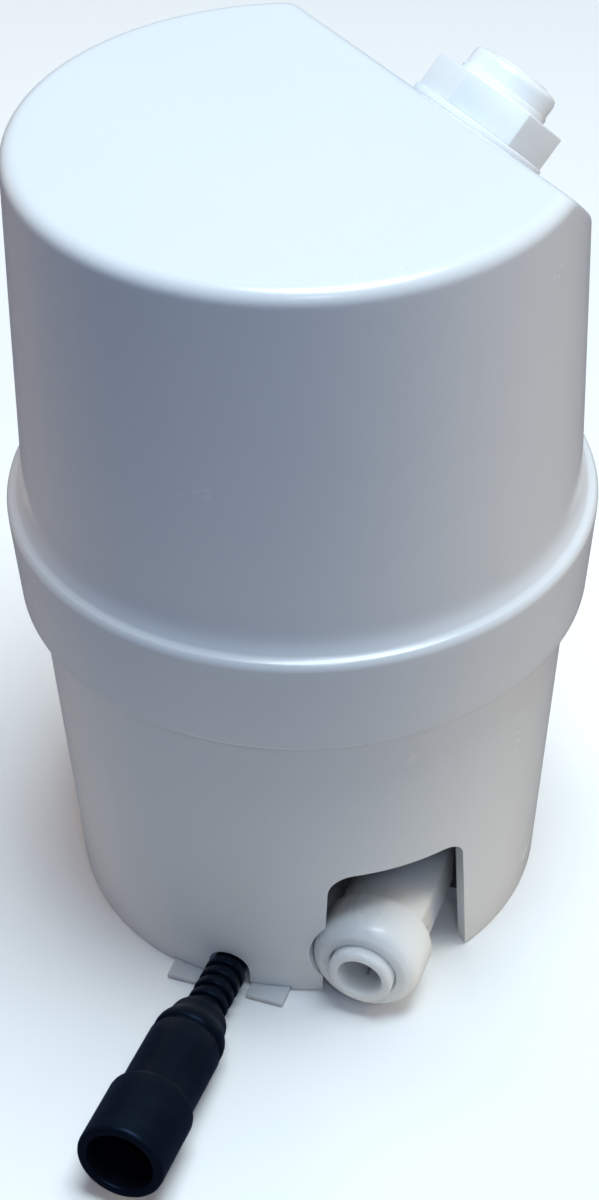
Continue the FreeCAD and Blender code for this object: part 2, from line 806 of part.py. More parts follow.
# ---- filter deck and cartridge ----
def makeDeck():
    body = newBody("filter_deck")
    pad(body, circle(0, 0, size.spigotBore - 0.2), size.ledgeTop, size.deckThick)
    pad(body, circle(size.riserX, size.riserY, 6.5), size.ledgeTop - 4.5, 4.6)
    pad(body, circle(size.riserX, size.riserY, 3.15), size.ledgeTop - 12, 7.6)
    pocket(body, circle(size.riserX, size.riserY, size.spigotSocket), size.ledgeTop - 3.5, 10)
    pocket(body, circle(size.riserX, size.riserY, 1.6), size.ledgeTop - 14, 14)
    for azimuth in deckScrewAzimuths:
        spot = aroundAxis(deckScrewRadius, azimuth).Base
        deckTop = size.ledgeTop + size.deckThick
        pocket(body, circle(spot.x, spot.y, screwRadius + 0.1), size.ledgeTop - 1, 6)
        pocket(body, circle(spot.x, spot.y, screwHeadRadius + 0.1), deckTop - screwHeadHeight - 0.1, 3)
    for azimuth in ventAzimuths:
        spot = aroundAxis(ventRadius, azimuth).Base
        pocket(body, circle(spot.x, spot.y, 3.0), size.ledgeTop - 1, 6)
    keep(body)


def makeCartridge():
    low = size.cartridgeBottom
    high = size.cartridgeTop
    radius = size.cartridgeRadius
    wall = size.cartridgeWall
    bore = size.flowRadius + 0.1
    tube("cartridge_shell", radius, radius - wall, low + size.capThick, high - size.capThick)

    base = newBody("cartridge_base")
    pad(base, circle(0, 0, radius), low, size.capThick - 0.1)
    pad(base, circle(size.riserX, size.riserY, size.spigotRadius), low - 5.8, 5.9)
    pocket(base, circle(0, 0, radius - wall), low + 1.6, 10)
    pocket(base, circle(size.riserX, size.riserY, bore), low - 8, 20)
    grooved = cut("cartridge_base_cut", base,
                  [spigotGroove("base_groove", at(size.riserX, size.riserY, low - 3.0))])
    keep(relabel(grooved, "cartridge_base_cap"))

    disc("prefilter_disc", radius - wall - 0.1, low + 3.0, low + 6.5)
    makeFibres(low + 6.8, high - 9)
    tube("potting_disc", radius - wall - 0.1, 0.5, high - 9, high - size.capThick)

    top = newBody("cartridge_top")
    pad(top, circle(0, 0, radius), high - size.capThick + 0.1, size.capThick - 0.1)
    pad(top, circle(elbowSpot.x, elbowSpot.y, size.spigotRadius), high - 0.1, 10.1)
    pocket(top, circle(0, 0, radius - wall), high - size.capThick - 1, size.capThick - 1)
    pocket(top, circle(elbowSpot.x, elbowSpot.y, bore), high - 10, 30)
    grooved = cut("cartridge_top_cut", top,
                  [spigotGroove("top_groove", at(elbowSpot.x, elbowSpot.y, high + 7.0))])
    keep(relabel(grooved, "cartridge_top_cap"))

    seal = doc.addObject("Part::Torus", "spigot_seal")
    seal.Radius1 = 4.3
    seal.Radius2 = 0.72
    doc.recompute()
    copies("cartridge_seals", seal, [at(size.riserX, size.riserY, low - 3.0),
                                     at(elbowSpot.x, elbowSpot.y, high + 7.0)])


def spigotGroove(label, place):
    groove = newBody(label, place)
    revolve(groove, [(3.56, -0.8), (6, -0.8), (6, 0.8), (3.56, 0.8)])
    return groove


# Bundles of hollow fibres on rings about the axis, potted at the top.
def makeFibres(low, high):
    fibre = doc.addObject("Part::Cylinder", "fibre")
    bind(fibre, "Radius", size.fibreRadius)
    bind(fibre, "Height", high - low - 0.05)
    doc.recompute()
    places = []
    for index in range(1, 6):
        ringRadius = 5.2 * index
        count = 6 * index
        places += [at(ringRadius * math.cos(2 * math.pi * step / count),
                      ringRadius * math.sin(2 * math.pi * step / count), low) for step in range(count)]
    copies("hollow_fibres", fibre, places)


# ---- push-fit fittings; each stands on its own axis with its face at height 0 ----
def gripWay(outline, depth):
    tubeStop = -15.5
    chamberFoot = -12.4
    chamberTop = -6.0
    flangeSeat = -3.4
    return [
        (size.flowRadius, depth),
        (size.flowRadius, tubeStop),
        (size.tubeBore - 0.05, tubeStop),
        (size.tubeBore - 0.05, chamberFoot),
        (size.chamberRadius, chamberFoot),
        (size.chamberRadius, chamberTop),
        (size.colletSkirt + 0.15, chamberTop),
        (size.colletSkirt + 0.15, flangeSeat),
        (size.flangePocket, flangeSeat),
        (size.flangePocket, 0),
    ] + outline


def makeCollet(label, place, proud):
    turned(label, [
        (size.tubeBore, -size.colletDepth),
        (size.colletToe, -size.colletDepth),
        (size.colletToe, 1.4 - size.colletDepth),
        (size.colletSkirt, 2.6 - size.colletDepth),
        (size.colletSkirt, -1.6),
        (size.colletFlange, -1.6),
        (size.colletFlange, proud - 0.7),
        (size.colletFlange - 0.7, proud),
        (size.tubeBore + 0.5, proud),
        (size.tubeBore, proud - 0.5),
    ], place)


def makeGrabRing(label, place):
    bite = size.tubeBore + 0.05
    turned(label, [
        (bite, -size.gripDepth),
        (size.chamberRadius, 0.3 - size.gripDepth),
        (size.chamberRadius, 0.6 - size.gripDepth),
        (bite, 0.3 - size.gripDepth),
    ], place)


def makeInlet():
    portDepth = -(drivingSizes["inletFace"] + portFace)
    threadFoot = portDepth - 7.6
    front = size.inletBarrel
    neck = 5.7
    barrelEnd = -8.0
    body = newBody("inlet_turned", inletPlace)
    revolve(body, gripWay([
        (front - 1.35, 0),
        (front - 0.75, -0.5),
        (front - 0.25, -2.6),
        (front, -4.2),
        (front, barrelEnd),
        (neck, barrelEnd),
        (neck, portDepth),
        (size.portThread, portDepth),
        (size.portThread, threadFoot),
    ], threadFoot))
    flats = newBody("inlet_flats", inletPlace)
    pad(flats, hexagon(size.inletFlats, 30), portDepth + 0.1, barrelEnd - portDepth - 0.1)
    pocket(flats, circle(0, 0, neck - 0.1), portDepth - 1, -portDepth)
    keep(relabel(join("inlet_fitting", [body, flats]), "inlet_fitting"))
    makeCollet("inlet_collet", inletPlace, 1.6)
    makeGrabRing("inlet_grab_ring", inletPlace)
    ring("inlet_tube_seal", 4.04, 0.83, sealPlace(inletPlace))


def sealPlace(place):
    return place.multiply(at(0, 0, -size.tubeSealDepth))


def makeUnion():
    face = unionPlace.multiply(at(0, 0, size.unionReach))
    wallInside = -size.unionReach - size.upperWall
    flange = 9.0
    tail = 5.5
    tailFoot = wallInside - 9.4
    turned("outlet_union", gripWay([
        (size.unionEnd - 0.9, 0),
        (size.unionEnd - 0.25, -0.3),
        (size.unionEnd, -1.0),
        (size.unionEnd, -2.9),
        (size.unionThread, -2.9),
        (size.unionThread, wallInside),
        (flange, wallInside),
        (flange, wallInside - 2),
        (tail, wallInside - 2),
        (tail, tailFoot),
    ], tailFoot), face)
    makeCollet("outlet_collet", face, 0.4)
    makeGrabRing("outlet_grab_ring", face)
    ring("outlet_tube_seal", 4.04, 0.83, sealPlace(face))
    tube("outlet_washer", size.washerRadius, size.unionThread + 0.1, 0.02, size.washerThick, unionPlace)

    nut = newBody("outlet_nut", unionPlace)
    pad(nut, hexagon(size.nutFlats, drivingSizes["nutTurn"]), size.washerThick, size.nutThick)
    pocket(nut, circle(0, 0, size.unionThread), size.washerThick - 1, size.nutThick + 2)
    keep(nut)
    makeElbow()


def makeElbow():
    outer = size.elbowRadius
    bore = size.flowRadius + 0.1
    centre = Placement(elbowSpot, facetTurn)
    down = Placement(elbowSpot, upsideDown)
    drop = drivingSizes["topHeight"] - 29.8
    length = elbowSpot.z - drop
    start = elbowReach - drivingSizes["upperWall"] - 2.1
    solid = join("elbow_solid", [
        rod("elbow_union_arm", outer, start, centre),
        rod("elbow_spigot_arm", outer, length, down),
        ball("elbow_bend", outer, elbowSpot),
    ])
    tools = [
        rod("elbow_union_way", 5.55, 20, centre.multiply(at(0, 0, 1.2))),
        rod("elbow_spigot_way", size.spigotSocket, 20, down.multiply(at(0, 0, 2.6))),
        rod("elbow_flow_up", bore, 5, centre),
        rod("elbow_flow_down", bore, 5, down),
        ball("elbow_flow_bend", bore, elbowSpot),
    ]
    keep(cut("outlet_elbow", solid, tools))


# ---- power socket; its axis runs outwards from the cup's wall ----
def makeSocket():
    length = size.socketLength
    relief = size.reliefRadius
    sleeveStart = length - 11.5
    bodyStart = length - 24.0
    plugEnd = length - 13
    groove = relief - 0.55
    ribs = []
    ribPitch = 2.3
    for index in range(4):
        foot = 0.9 + index * ribPitch
        ribs += [(relief, foot), (relief, foot + 1.35), (groove, foot + 1.5), (groove, foot + 2.15)]
    moulding = newBody("socket_moulding", socketPlace)
    root = relief - 0.45
    revolve(moulding, [
        (0, -5.0),
        (root, -5.0),
        (root, 0.2),
        (relief, 0.2),
    ] + ribs + [
        (relief, 10.3),
        (relief + 0.9, 11.2),
        (relief + 1.3, 12.6),
        (size.socketBody - 0.9, 14.2),
        (size.socketBody - 0.15, 15.6),
        (size.socketBody - 0.15, bodyStart - 0.6),
        (size.socketBody - 0.45, bodyStart - 0.5),
        (size.socketBody - 0.45, bodyStart),
        (size.socketBody, bodyStart + 0.3),
        (size.socketBody, sleeveStart - 0.5),
        (size.sleeveRadius - 0.3, sleeveStart - 0.3),
        (size.sleeveRadius, sleeveStart + 0.2),
        (size.sleeveRadius, length - 0.5),
        (size.sleeveRadius - 0.4, length),
        (size.sleeveBore + 0.3, length),
        (size.sleeveBore, length - 0.3),
        (size.sleeveBore, plugEnd),
        (0, plugEnd),
    ])
    anchor = block("socket_anchor", -5.5, 5.5, -31.9, -30.2, size.plateTop, 9.0)
    sides = [-size.contactPitch / 2, size.contactPitch / 2]
    leadWays = [rod("lead_way", 0.7, 60, socketPlace.multiply(at(side, 0, -20))) for side in sides]
    keep(cut("power_socket", join("socket_solid", [moulding, anchor]), leadWays))
    insert = newBody("socket_insert", socketPlace)
    pad(insert, circle(0, 0, size.sleeveBore - 0.02), plugEnd + 0.02, 3.5)
    for side in sides:
        pocket(insert, circle(side, 0, size.contactRadius), plugEnd - 1, 8)
    keep(insert)
    contact = rod("contact", size.contactRadius, 10.0, at())
    doc.recompute()
    copies("contact_pins", contact, [socketPlace.multiply(at(side, 0, plugEnd - 2)) for side in sides])


# Straight runs joined by tangent arcs, as a wire of one smooth path.
def leadPath(points):
    edges = []
    last = points[0]
    for before, corner, after in zip(points, points[1:], points[2:]):
        back = before - corner
        ahead = after - corner
        run = min(back.Length, ahead.Length)
        turn = math.pi - back.getAngle(ahead)
        trim = 0.45 * run
        radius = trim / math.tan(turn / 2)
        start = corner + back.normalize() * trim
        end = corner + ahead.normalize() * trim
        bisector = (start + end) * 0.5 - corner
        centre = corner + bisector.normalize() * math.hypot(radius, trim)
        middle = centre + (corner - centre).normalize() * radius
        edges.append(Part.LineSegment(last, start).toShape())
        edges.append(Part.Arc(start, middle, end).toShape())
        last = end
    edges.append(Part.LineSegment(last, points[-1]).toShape())
    return Part.Wire(edges)


def makeLead(label, side):
    offset = side * drivingSizes["contactPitch"] / 2
    axisStart = socketPlace.multVec(Vector(offset, 0, drivingSizes["socketLength"] - 15.05))
    wallExit = socketPlace.multVec(Vector(offset, 0, -8.6))
    points = [
        axisStart,
        wallExit,
        Vector(side * 3.0, -21.5, 9.5),
        Vector(side * 5.0, -18.5, 22.0),
        Vector(side * 6.0, -17.5, 36.0),
        Vector(side * 6.0, -13.5, 47.5),
        Vector(side * 6.0, -5.95, 49.6),
    ]
    path = leadPath(points)
    start = (points[1] - points[0]).normalize()
    profile = Part.Wire(Part.Circle(points[0], start, drivingSizes["leadRadius"]).toShape())
    lead = doc.addObject("Part::Feature", label)
    lead.Shape = path.makePipeShell([profile], True, True)
    lead.Label = label
    keep(lead)


def makeLeads():
    makeLead("red_lead", 1)
    makeLead("black_lead", -1)


makeLowerCup()
makeUpperCup()
makeBasePlate()
makeScrews()
ring("cup_seal_ring", size.skirtBore - size.sealSection - 0.02, size.sealSection, at(0, 0, size.sealHeight))
makePumpBody()
makePumpCover()
makeGears()
makeRiser()
makeMotor()
makeRotor()
makeDeck()
makeCartridge()
makeInlet()
makeUnion()
makeSocket()
makeLeads()
doc.recompute()

for item in doc.Objects:
    if "Invalid" in item.State or "Error" in item.State:
        raise RuntimeError(f"{item.Label} failed: {item.State}")
for item in subParts:
    if item.Shape.isNull() or not item.Shape.isValid() or item.Shape.Volume <= 0:
        raise RuntimeError(f"{item.Label} has no sound shape")

os.makedirs("parts", exist_ok=True)
for item in subParts:
    item.Shape.exportStep(f"parts/{item.Label}.step")
    print(f"{item.Label}: {item.Shape.Volume:.1f} mm3, {len(item.Shape.Solids)} solids")
print(f"{len(subParts)} sub-parts")
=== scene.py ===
import json
import math
import bmesh
import bpy
from mathutils import Matrix, Vector

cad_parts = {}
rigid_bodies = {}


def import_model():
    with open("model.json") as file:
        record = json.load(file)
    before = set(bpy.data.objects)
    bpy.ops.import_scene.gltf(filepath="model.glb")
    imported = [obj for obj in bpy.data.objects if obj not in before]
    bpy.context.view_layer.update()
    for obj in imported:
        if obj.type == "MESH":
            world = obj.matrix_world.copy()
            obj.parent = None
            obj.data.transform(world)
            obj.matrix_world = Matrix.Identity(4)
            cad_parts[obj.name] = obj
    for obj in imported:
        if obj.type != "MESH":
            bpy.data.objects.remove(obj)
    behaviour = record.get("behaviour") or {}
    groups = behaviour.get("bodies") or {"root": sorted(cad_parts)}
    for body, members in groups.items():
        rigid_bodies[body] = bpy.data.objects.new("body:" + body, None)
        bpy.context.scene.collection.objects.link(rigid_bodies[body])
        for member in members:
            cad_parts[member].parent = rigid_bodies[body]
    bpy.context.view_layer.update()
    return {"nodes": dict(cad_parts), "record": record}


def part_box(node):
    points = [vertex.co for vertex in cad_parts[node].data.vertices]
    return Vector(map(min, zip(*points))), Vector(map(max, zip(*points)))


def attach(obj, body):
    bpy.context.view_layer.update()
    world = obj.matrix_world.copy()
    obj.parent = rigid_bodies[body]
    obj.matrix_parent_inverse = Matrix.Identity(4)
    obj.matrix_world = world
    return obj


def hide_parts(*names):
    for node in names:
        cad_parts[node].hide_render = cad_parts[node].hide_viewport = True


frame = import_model()
mm = 0.001
scene = bpy.context.scene
slotOf = {row["node"]: row["material_slot"] for row in frame["record"]["subparts"]}
print("frame loaded:", len(frame["nodes"]), "nodes")


# The camera stands in front and above, a little to the right
view = {
    "azimuth": 20.0,
    "elevation": 37.97,
    "distance": 357.5 * mm,
    "aimHeight": 61.3 * mm,
    "roll": -1.08,
    "lens": 75.3,
    "shiftX": -0.0028,
    "shiftY": -0.0719,
}


def makeCamera():
    azimuth, elevation, roll = (math.radians(view[key]) for key in ("azimuth", "elevation", "roll"))
    back = Vector((math.sin(azimuth) * math.cos(elevation), -math.cos(azimuth) * math.cos(elevation),
                   math.sin(elevation)))
    level = Vector((math.cos(azimuth), math.sin(azimuth), 0))
    upright = back.cross(level)
    right = level * math.cos(roll) + upright * math.sin(roll)
    up = back.cross(right)
    camera = bpy.data.objects.new("camera", bpy.data.cameras.new("camera"))
    scene.collection.objects.link(camera)
    camera.matrix_world = Matrix.Translation(Vector((0, 0, view["aimHeight"])) + back * view["distance"]) @ \
        Matrix((right, up, back)).transposed().to_4x4()
    camera.data.lens = view["lens"]
    camera.data.shift_x = view["shiftX"]
    camera.data.shift_y = view["shiftY"]
    camera.data.clip_start = 0.01
    camera.data.clip_end = 20
    scene.camera = camera


studio = {
    "skyColour": (0.34, 0.50, 1.0),
    "skyStrength": 0.165,
    "floorColour": (0.97, 0.97, 0.97),
    "bounceColour": (1.0, 0.90, 0.76),
    "floorSize": 6.0,
    "bounceRadius": 0.16,
    "lights": [
        # name, place, aim, width, power, colour
        ("topSoftbox", (0.10, 0.00, 0.76), (0, 0, 0.10), 0.42, 5.5, (0.80, 0.94, 1.0)),
        ("windowStrip", (0.24, -0.46, 0.60), (0.01, -0.04, 0.07), 0.12, 0.46, (0.74, 0.87, 1.0)),
        ("warmRight", (0.68, 0.31, 0.16), (0, 0, 0.05), 0.5, 2.3, (1.0, 0.82, 0.54)),
        ("warmLeft", (-0.70, 0.26, 0.16), (0, 0, 0.05), 0.5, 2.9, (1.0, 0.80, 0.52)),
    ],
}


def makePaper(name, colour):
    paper = bpy.data.materials.new(name)
    paper.use_nodes = True
    shader = paper.node_tree.nodes["Principled BSDF"]
    shader.inputs["Base Color"].default_value = (*colour, 1)
    shader.inputs["Roughness"].default_value = 0.9
    return paper


# A flat sheet of floor
def makeFloor(name, outline, colour):
    mesh = bpy.data.meshes.new(name)
    mesh.from_pydata(outline, [], [tuple(range(len(outline)))])
    mesh.materials.append(makePaper(f"{name}Paper", colour))
    floor = bpy.data.objects.new(name, mesh)
    scene.collection.objects.link(floor)
    return floor


def makeStudio():
    world = bpy.data.worlds.new("studioWorld")
    world.use_nodes = True
    sky = world.node_tree.nodes["Background"]
    sky.inputs["Color"].default_value = (*studio["skyColour"], 1)
    sky.inputs["Strength"].default_value = studio["skyStrength"]
    scene.world = world
    half = studio["floorSize"] / 2
    floor = makeFloor("floor", [(-half, -half, 0), (half, -half, 0), (half, half, 0), (-half, half, 0)],
                      studio["floorColour"])
    floor.visible_diffuse = False
    floor.visible_shadow = False
    floor.visible_glossy = False
    # a smaller sheet just under it throws soft light back, mostly onto the lower cup
    angles = [2 * math.pi * step / 64 for step in range(64)]
    reach = studio["bounceRadius"]
    bounce = makeFloor("bounceSheet", [(reach * math.cos(a), reach * math.sin(a), -0.1 * mm) for a in angles],
                       studio["bounceColour"])
    bounce.visible_camera = False
    bounce.visible_glossy = False
    for name, place, aim, width, power, colour in studio["lights"]:
        lamp = bpy.data.objects.new(name, bpy.data.lights.new(name, "AREA"))
        lamp.data.shape = "DISK"
        lamp.data.size = width
        lamp.data.energy = power
        lamp.data.color = colour
        lamp.location = place
        lamp.rotation_mode = "QUATERNION"
        lamp.rotation_quaternion = (Vector(aim) - Vector(place)).to_track_quat("-Z", "Y")
        lamp.visible_glossy = not name.startswith("warm")
        scene.collection.objects.link(lamp)
    scene.view_settings.view_transform = "Standard"


makeCamera()
makeStudio()
print("camera and studio set")


# Node materials; every pattern is laid out in Object coordinates
class Tree:
    def __init__(self, name):
        self.material = bpy.data.materials.new(name)
        self.material.use_nodes = True
        self.nodes = self.material.node_tree.nodes
        self.links = self.material.node_tree.links
        self.shader = self.nodes["Principled BSDF"]
        self.where = self.nodes.new("ShaderNodeTexCoord").outputs["Object"]

    def add(self, kind, **values):
        node = self.nodes.new(kind)
        for key, value in values.items():
            if key in node.inputs.keys():
                node.inputs[key].default_value = value
            else:
                setattr(node, key, value)
        return node

    def join(self, source, target):
        self.links.new(source, target)

    # a noise field; stretch makes streaks along an axis
    def noise(self, scale, detail=3.0, roughness=0.5, stretch=(1, 1, 1)):
        spread = self.add("ShaderNodeMapping")
        spread.inputs["Scale"].default_value = stretch
        self.join(self.where, spread.inputs["Vector"])
        field = self.add("ShaderNodeTexNoise", Scale=scale, Detail=detail, Roughness=roughness)
        self.join(spread.outputs["Vector"], field.inputs["Vector"])
        return field.outputs["Fac"]

    def ramp(self, source, stops):
        ramp = self.add("ShaderNodeValToRGB")
        marks = ramp.color_ramp.elements
        while len(marks) < len(stops):
            marks.new(0.5)
        for mark, (place, colour) in zip(marks, stops):
            mark.position = place
            mark.color = colour if len(colour) == 4 else (*colour, 1)
        self.join(source, ramp.inputs["Fac"])
        return ramp.outputs["Color"]

    def range(self, source, low, high, fromLow=0.3, fromHigh=0.7):
        spread = self.add("ShaderNodeMapRange")
        for key, value in (("From Min", fromLow), ("From Max", fromHigh), ("To Min", low), ("To Max", high)):
            spread.inputs[key].default_value = value
        self.join(source, spread.inputs["Value"])
        return spread.outputs["Result"]

    def bump(self, heights):
        last = None
        for source, depth, strength in heights:
            node = self.add("ShaderNodeBump", Strength=strength, Distance=depth)
            self.join(source, node.inputs["Height"])
            if last is not None:
                self.join(last, node.inputs["Normal"])
            last = node.outputs["Normal"]
        self.join(last, self.shader.inputs["Normal"])

    def set(self, **values):
        for key, value in values.items():
            self.shader.inputs[key.replace("_", " ")].default_value = value


def shade(colour, amount):
    return tuple(min(1.0, part * amount) for part in colour)


# Moulded plastic: faint flow mottling, orange peel, fine grain, dust and hairline scuffs
def mouldedPlastic(name, colour, roughness=0.3, mottle=0.04, peel=1.0, dust=0.03):
    tree = Tree(name)
    flow = tree.noise(38, 4, 0.55)
    specks = tree.noise(2600, 2, 0.5)
    flowColour = tree.ramp(flow, [(0.25, shade(colour, 1 - mottle)), (0.55, colour),
                                  (0.8, shade(colour, 1 + mottle / 2))])
    dirt = tree.ramp(specks, [(0.0, shade(colour, 1 - dust * 4)), (0.26, shade(colour, 1 - dust)),
                              (0.34, (1, 1, 1))])
    mixed = tree.add("ShaderNodeMix", data_type="RGBA", blend_type="MULTIPLY")
    mixed.inputs[0].default_value = min(1.0, dust * 12)
    tree.join(flowColour, mixed.inputs[6])
    tree.join(dirt, mixed.inputs[7])
    tree.join(mixed.outputs[2], tree.shader.inputs["Base Color"])
    scuffs = tree.noise(90, 5, 0.65)
    tree.join(tree.range(scuffs, roughness * 0.9, roughness * 1.15), tree.shader.inputs["Roughness"])
    tree.bump([
        (tree.noise(130, 2, 0.4), 0.00003 * peel, 0.3),
        (tree.noise(1500, 3, 0.6), 0.000008 * peel, 0.4),
    ])
    return tree


def makeWhiteCase():
    tree = mouldedPlastic("whiteCase", (0.77, 0.785, 0.81), roughness=0.24, mottle=0.012, dust=0.008)
    tree.set(IOR=1.52, Subsurface_Weight=0.05, Subsurface_Radius=(0.002, 0.002, 0.0025), Subsurface_Scale=0.4)
    tree.set(Coat_Weight=0.12, Coat_Roughness=0.12)
    return tree.material


def makeWhiteUnion():
    tree = mouldedPlastic("whiteUnion", (0.84, 0.87, 0.90), roughness=0.3, mottle=0.02)
    tree.set(Subsurface_Weight=0.18, Subsurface_Radius=(0.003, 0.003, 0.0035), Subsurface_Scale=0.5)
    return tree.material


def makeWhiteWasher():
    return mouldedPlastic("whiteWasher", (0.80, 0.83, 0.87), roughness=0.5, mottle=0.03).material


def makeWhiteCollet():
    tree = mouldedPlastic("whiteCollet", (0.93, 0.95, 0.96), roughness=0.28, mottle=0.015, dust=0.01)
    tree.set(Subsurface_Weight=0.7, Subsurface_Radius=(0.006, 0.006, 0.006), Subsurface_Scale=0.9)
    return tree.material


# Milky polypropylene: cloudy, lets light in and keeps a soft gloss
def makeMilkyFitting():
    tree = Tree("milkyFitting")
    cloud = tree.noise(95, 4, 0.6)
    streak = tree.noise(160, 3, 0.6, (1, 0.18, 1))
    tint = tree.ramp(cloud, [(0.25, (0.86, 0.91, 0.95)), (0.5, (0.91, 0.95, 0.98)),
                             (0.78, (0.96, 0.98, 0.98))])
    tree.join(tint, tree.shader.inputs["Base Color"])
    tree.join(tree.range(streak, 0.22, 0.42), tree.shader.inputs["Roughness"])
    tree.set(Subsurface_Weight=0.65, Subsurface_Radius=(0.006, 0.0065, 0.007), Subsurface_Scale=0.8)
    tree.set(IOR=1.49, Coat_Weight=0.15, Coat_Roughness=0.2)
    fine = tree.noise(700, 2, 0.5)
    tree.bump([(cloud, 0.00006, 0.25), (fine, 0.00001, 0.4), (streak, 0.00001, 0.3)])
    return tree.material


def makeClearPlate():
    tree = Tree("clearPlate")
    cloud = tree.noise(60, 3, 0.5)
    tint = tree.ramp(cloud, [(0.3, (0.60, 0.61, 0.63)), (0.7, (0.74, 0.75, 0.77))])
    tree.join(tint, tree.shader.inputs["Base Color"])
    tree.join(tree.range(tree.noise(400, 4, 0.6), 0.25, 0.5), tree.shader.inputs["Roughness"])
    tree.set(Transmission_Weight=0.1, IOR=1.5, Subsurface_Weight=0.5, Subsurface_Radius=(0.003, 0.003, 0.003),
             Subsurface_Scale=0.5)
    tree.bump([(tree.noise(900, 2, 0.5), 0.00003, 0.5)])
    return tree.material


# Moulded rubber: satin, slightly blue where it catches the light, with dust in the pores
def mouldedRubber(name, colour, roughness=0.42, dusty=0.5):
    tree = Tree(name)
    rubbed = tree.noise(300, 5, 0.65)
    pores = tree.noise(2400, 2, 0.5)
    tint = tree.ramp(rubbed, [(0.25, shade(colour, 0.7)), (0.55, colour), (0.85, shade(colour, 1 + dusty))])
    tree.join(tint, tree.shader.inputs["Base Color"])
    tree.join(tree.range(rubbed, roughness * 0.8, roughness * 1.3), tree.shader.inputs["Roughness"])
    tree.set(Specular_IOR_Level=0.2, Specular_Tint=(0.30, 0.55, 1.0, 1.0))
    tree.bump([(tree.noise(220, 3, 0.5), 0.00006, 0.4), (pores, 0.00002, 0.6)])
    return tree.material


def makeBlackRubber():
    return mouldedRubber("blackRubber", (0.0030, 0.0046, 0.0085), 0.36, 0.5)


def makeSealRubber():
    return mouldedRubber("sealRubber", (0.012, 0.012, 0.012), 0.5)


def makeBlackWire():
    return mouldedRubber("blackWire", (0.014, 0.014, 0.015), 0.45)


def makeRedWire():
    return mouldedRubber("redWire", (0.42, 0.02, 0.015), 0.45, 0.15)


def makeClearTube():
    tree = Tree("clearTube")
    cloud = tree.noise(120, 3, 0.5)
    tint = tree.ramp(cloud, [(0.3, (0.66, 0.70, 0.70)), (0.7, (0.80, 0.83, 0.82))])
    tree.join(tint, tree.shader.inputs["Base Color"])
    tree.join(tree.range(cloud, 0.2, 0.4), tree.shader.inputs["Roughness"])
    tree.set(Transmission_Weight=0.5, IOR=1.41, Subsurface_Weight=0.3, Subsurface_Scale=0.003)
    tree.bump([(tree.noise(500, 2, 0.5, (1, 1, 0.1)), 0.00003, 0.4)])
    return tree.material


# Bare metal: brushed or drawn, with a little tarnish in the hollows
def bareMetal(name, colour, roughness=0.3, stretch=(1, 1, 0.06), tarnish=0.25):
    tree = Tree(name)
    brushed = tree.noise(1400, 3, 0.7, stretch)
    cloud = tree.noise(140, 4, 0.6)
    tint = tree.ramp(cloud, [(0.2, shade(colour, 1 - tarnish)), (0.6, colour), (0.9, shade(colour, 1.08))])
    tree.join(tint, tree.shader.inputs["Base Color"])
    tree.join(tree.range(brushed, roughness * 0.7, roughness * 1.4), tree.shader.inputs["Roughness"])
    tree.set(Metallic=1.0)
    tree.bump([(brushed, 0.00001, 0.5), (cloud, 0.00002, 0.3)])
    return tree.material


def makeSteel():
    return bareMetal("steel", (0.56, 0.57, 0.58), 0.28)


def makePlatedSteel():
    return bareMetal("platedSteel", (0.50, 0.51, 0.52), 0.36, (0.06, 1, 1), 0.35)


def makeBronze():
    return bareMetal("bronze", (0.62, 0.42, 0.20), 0.3)


def makeCopper():
    return bareMetal("copper", (0.70, 0.30, 0.15), 0.32, (1, 1, 1), 0.3)


def makeFerrite():
    return mouldedRubber("ferrite", (0.035, 0.035, 0.038), 0.6, 0.4)


def makePumpPlastic():
    return mouldedPlastic("pumpPlastic", (0.045, 0.045, 0.05), 0.5, 0.15, 2.0, 0.05).material


def makeGearPlastic():
    return mouldedPlastic("gearPlastic", (0.76, 0.73, 0.64), 0.35, 0.05).material


def makeFittingPlastic():
    return mouldedPlastic("fittingPlastic", (0.78, 0.79, 0.79), 0.42, 0.04, 1.6).material


def makeBlackPlastic():
    return mouldedPlastic("blackPlastic", (0.014, 0.014, 0.016), 0.45, 0.1, 1.5, 0.04).material


def makeCartridgeCap():
    return mouldedPlastic("cartridgeCap", (0.05, 0.17, 0.42), 0.3, 0.08).material


def makeCartridgeClear():
    tree = Tree("cartridgeClear")
    cloud = tree.noise(70, 2, 0.5)
    tint = tree.ramp(cloud, [(0.3, (0.72, 0.84, 0.90)), (0.7, (0.84, 0.92, 0.96))])
    tree.join(tint, tree.shader.inputs["Base Color"])
    tree.join(tree.range(tree.noise(260, 4, 0.6), 0.04, 0.14), tree.shader.inputs["Roughness"])
    tree.set(Transmission_Weight=0.9, IOR=1.2)
    tree.bump([(tree.noise(180, 2, 0.5), 0.00003, 0.3)])
    return tree.material


def makePotting():
    tree = Tree("potting")
    cloud = tree.noise(110, 3, 0.5)
    tint = tree.ramp(cloud, [(0.3, (0.55, 0.45, 0.24)), (0.7, (0.72, 0.62, 0.40))])
    tree.join(tint, tree.shader.inputs["Base Color"])
    tree.join(tree.range(cloud, 0.15, 0.35), tree.shader.inputs["Roughness"])
    tree.set(Subsurface_Weight=0.4, Subsurface_Scale=0.004)
    tree.bump([(tree.noise(300, 3, 0.5), 0.00006, 0.4)])
    return tree.material


def makeFilterFelt():
    tree = Tree("filterFelt")
    fibres = tree.noise(1800, 6, 0.75, (1, 1, 0.4))
    tint = tree.ramp(fibres, [(0.3, (0.60, 0.58, 0.52)), (0.6, (0.84, 0.83, 0.78))])
    tree.join(tint, tree.shader.inputs["Base Color"])
    tree.join(tree.range(fibres, 0.8, 1.0), tree.shader.inputs["Roughness"])
    tree.set(Sheen_Weight=0.35, Sheen_Roughness=0.6)
    tree.bump([(fibres, 0.0002, 0.9)])
    return tree.material


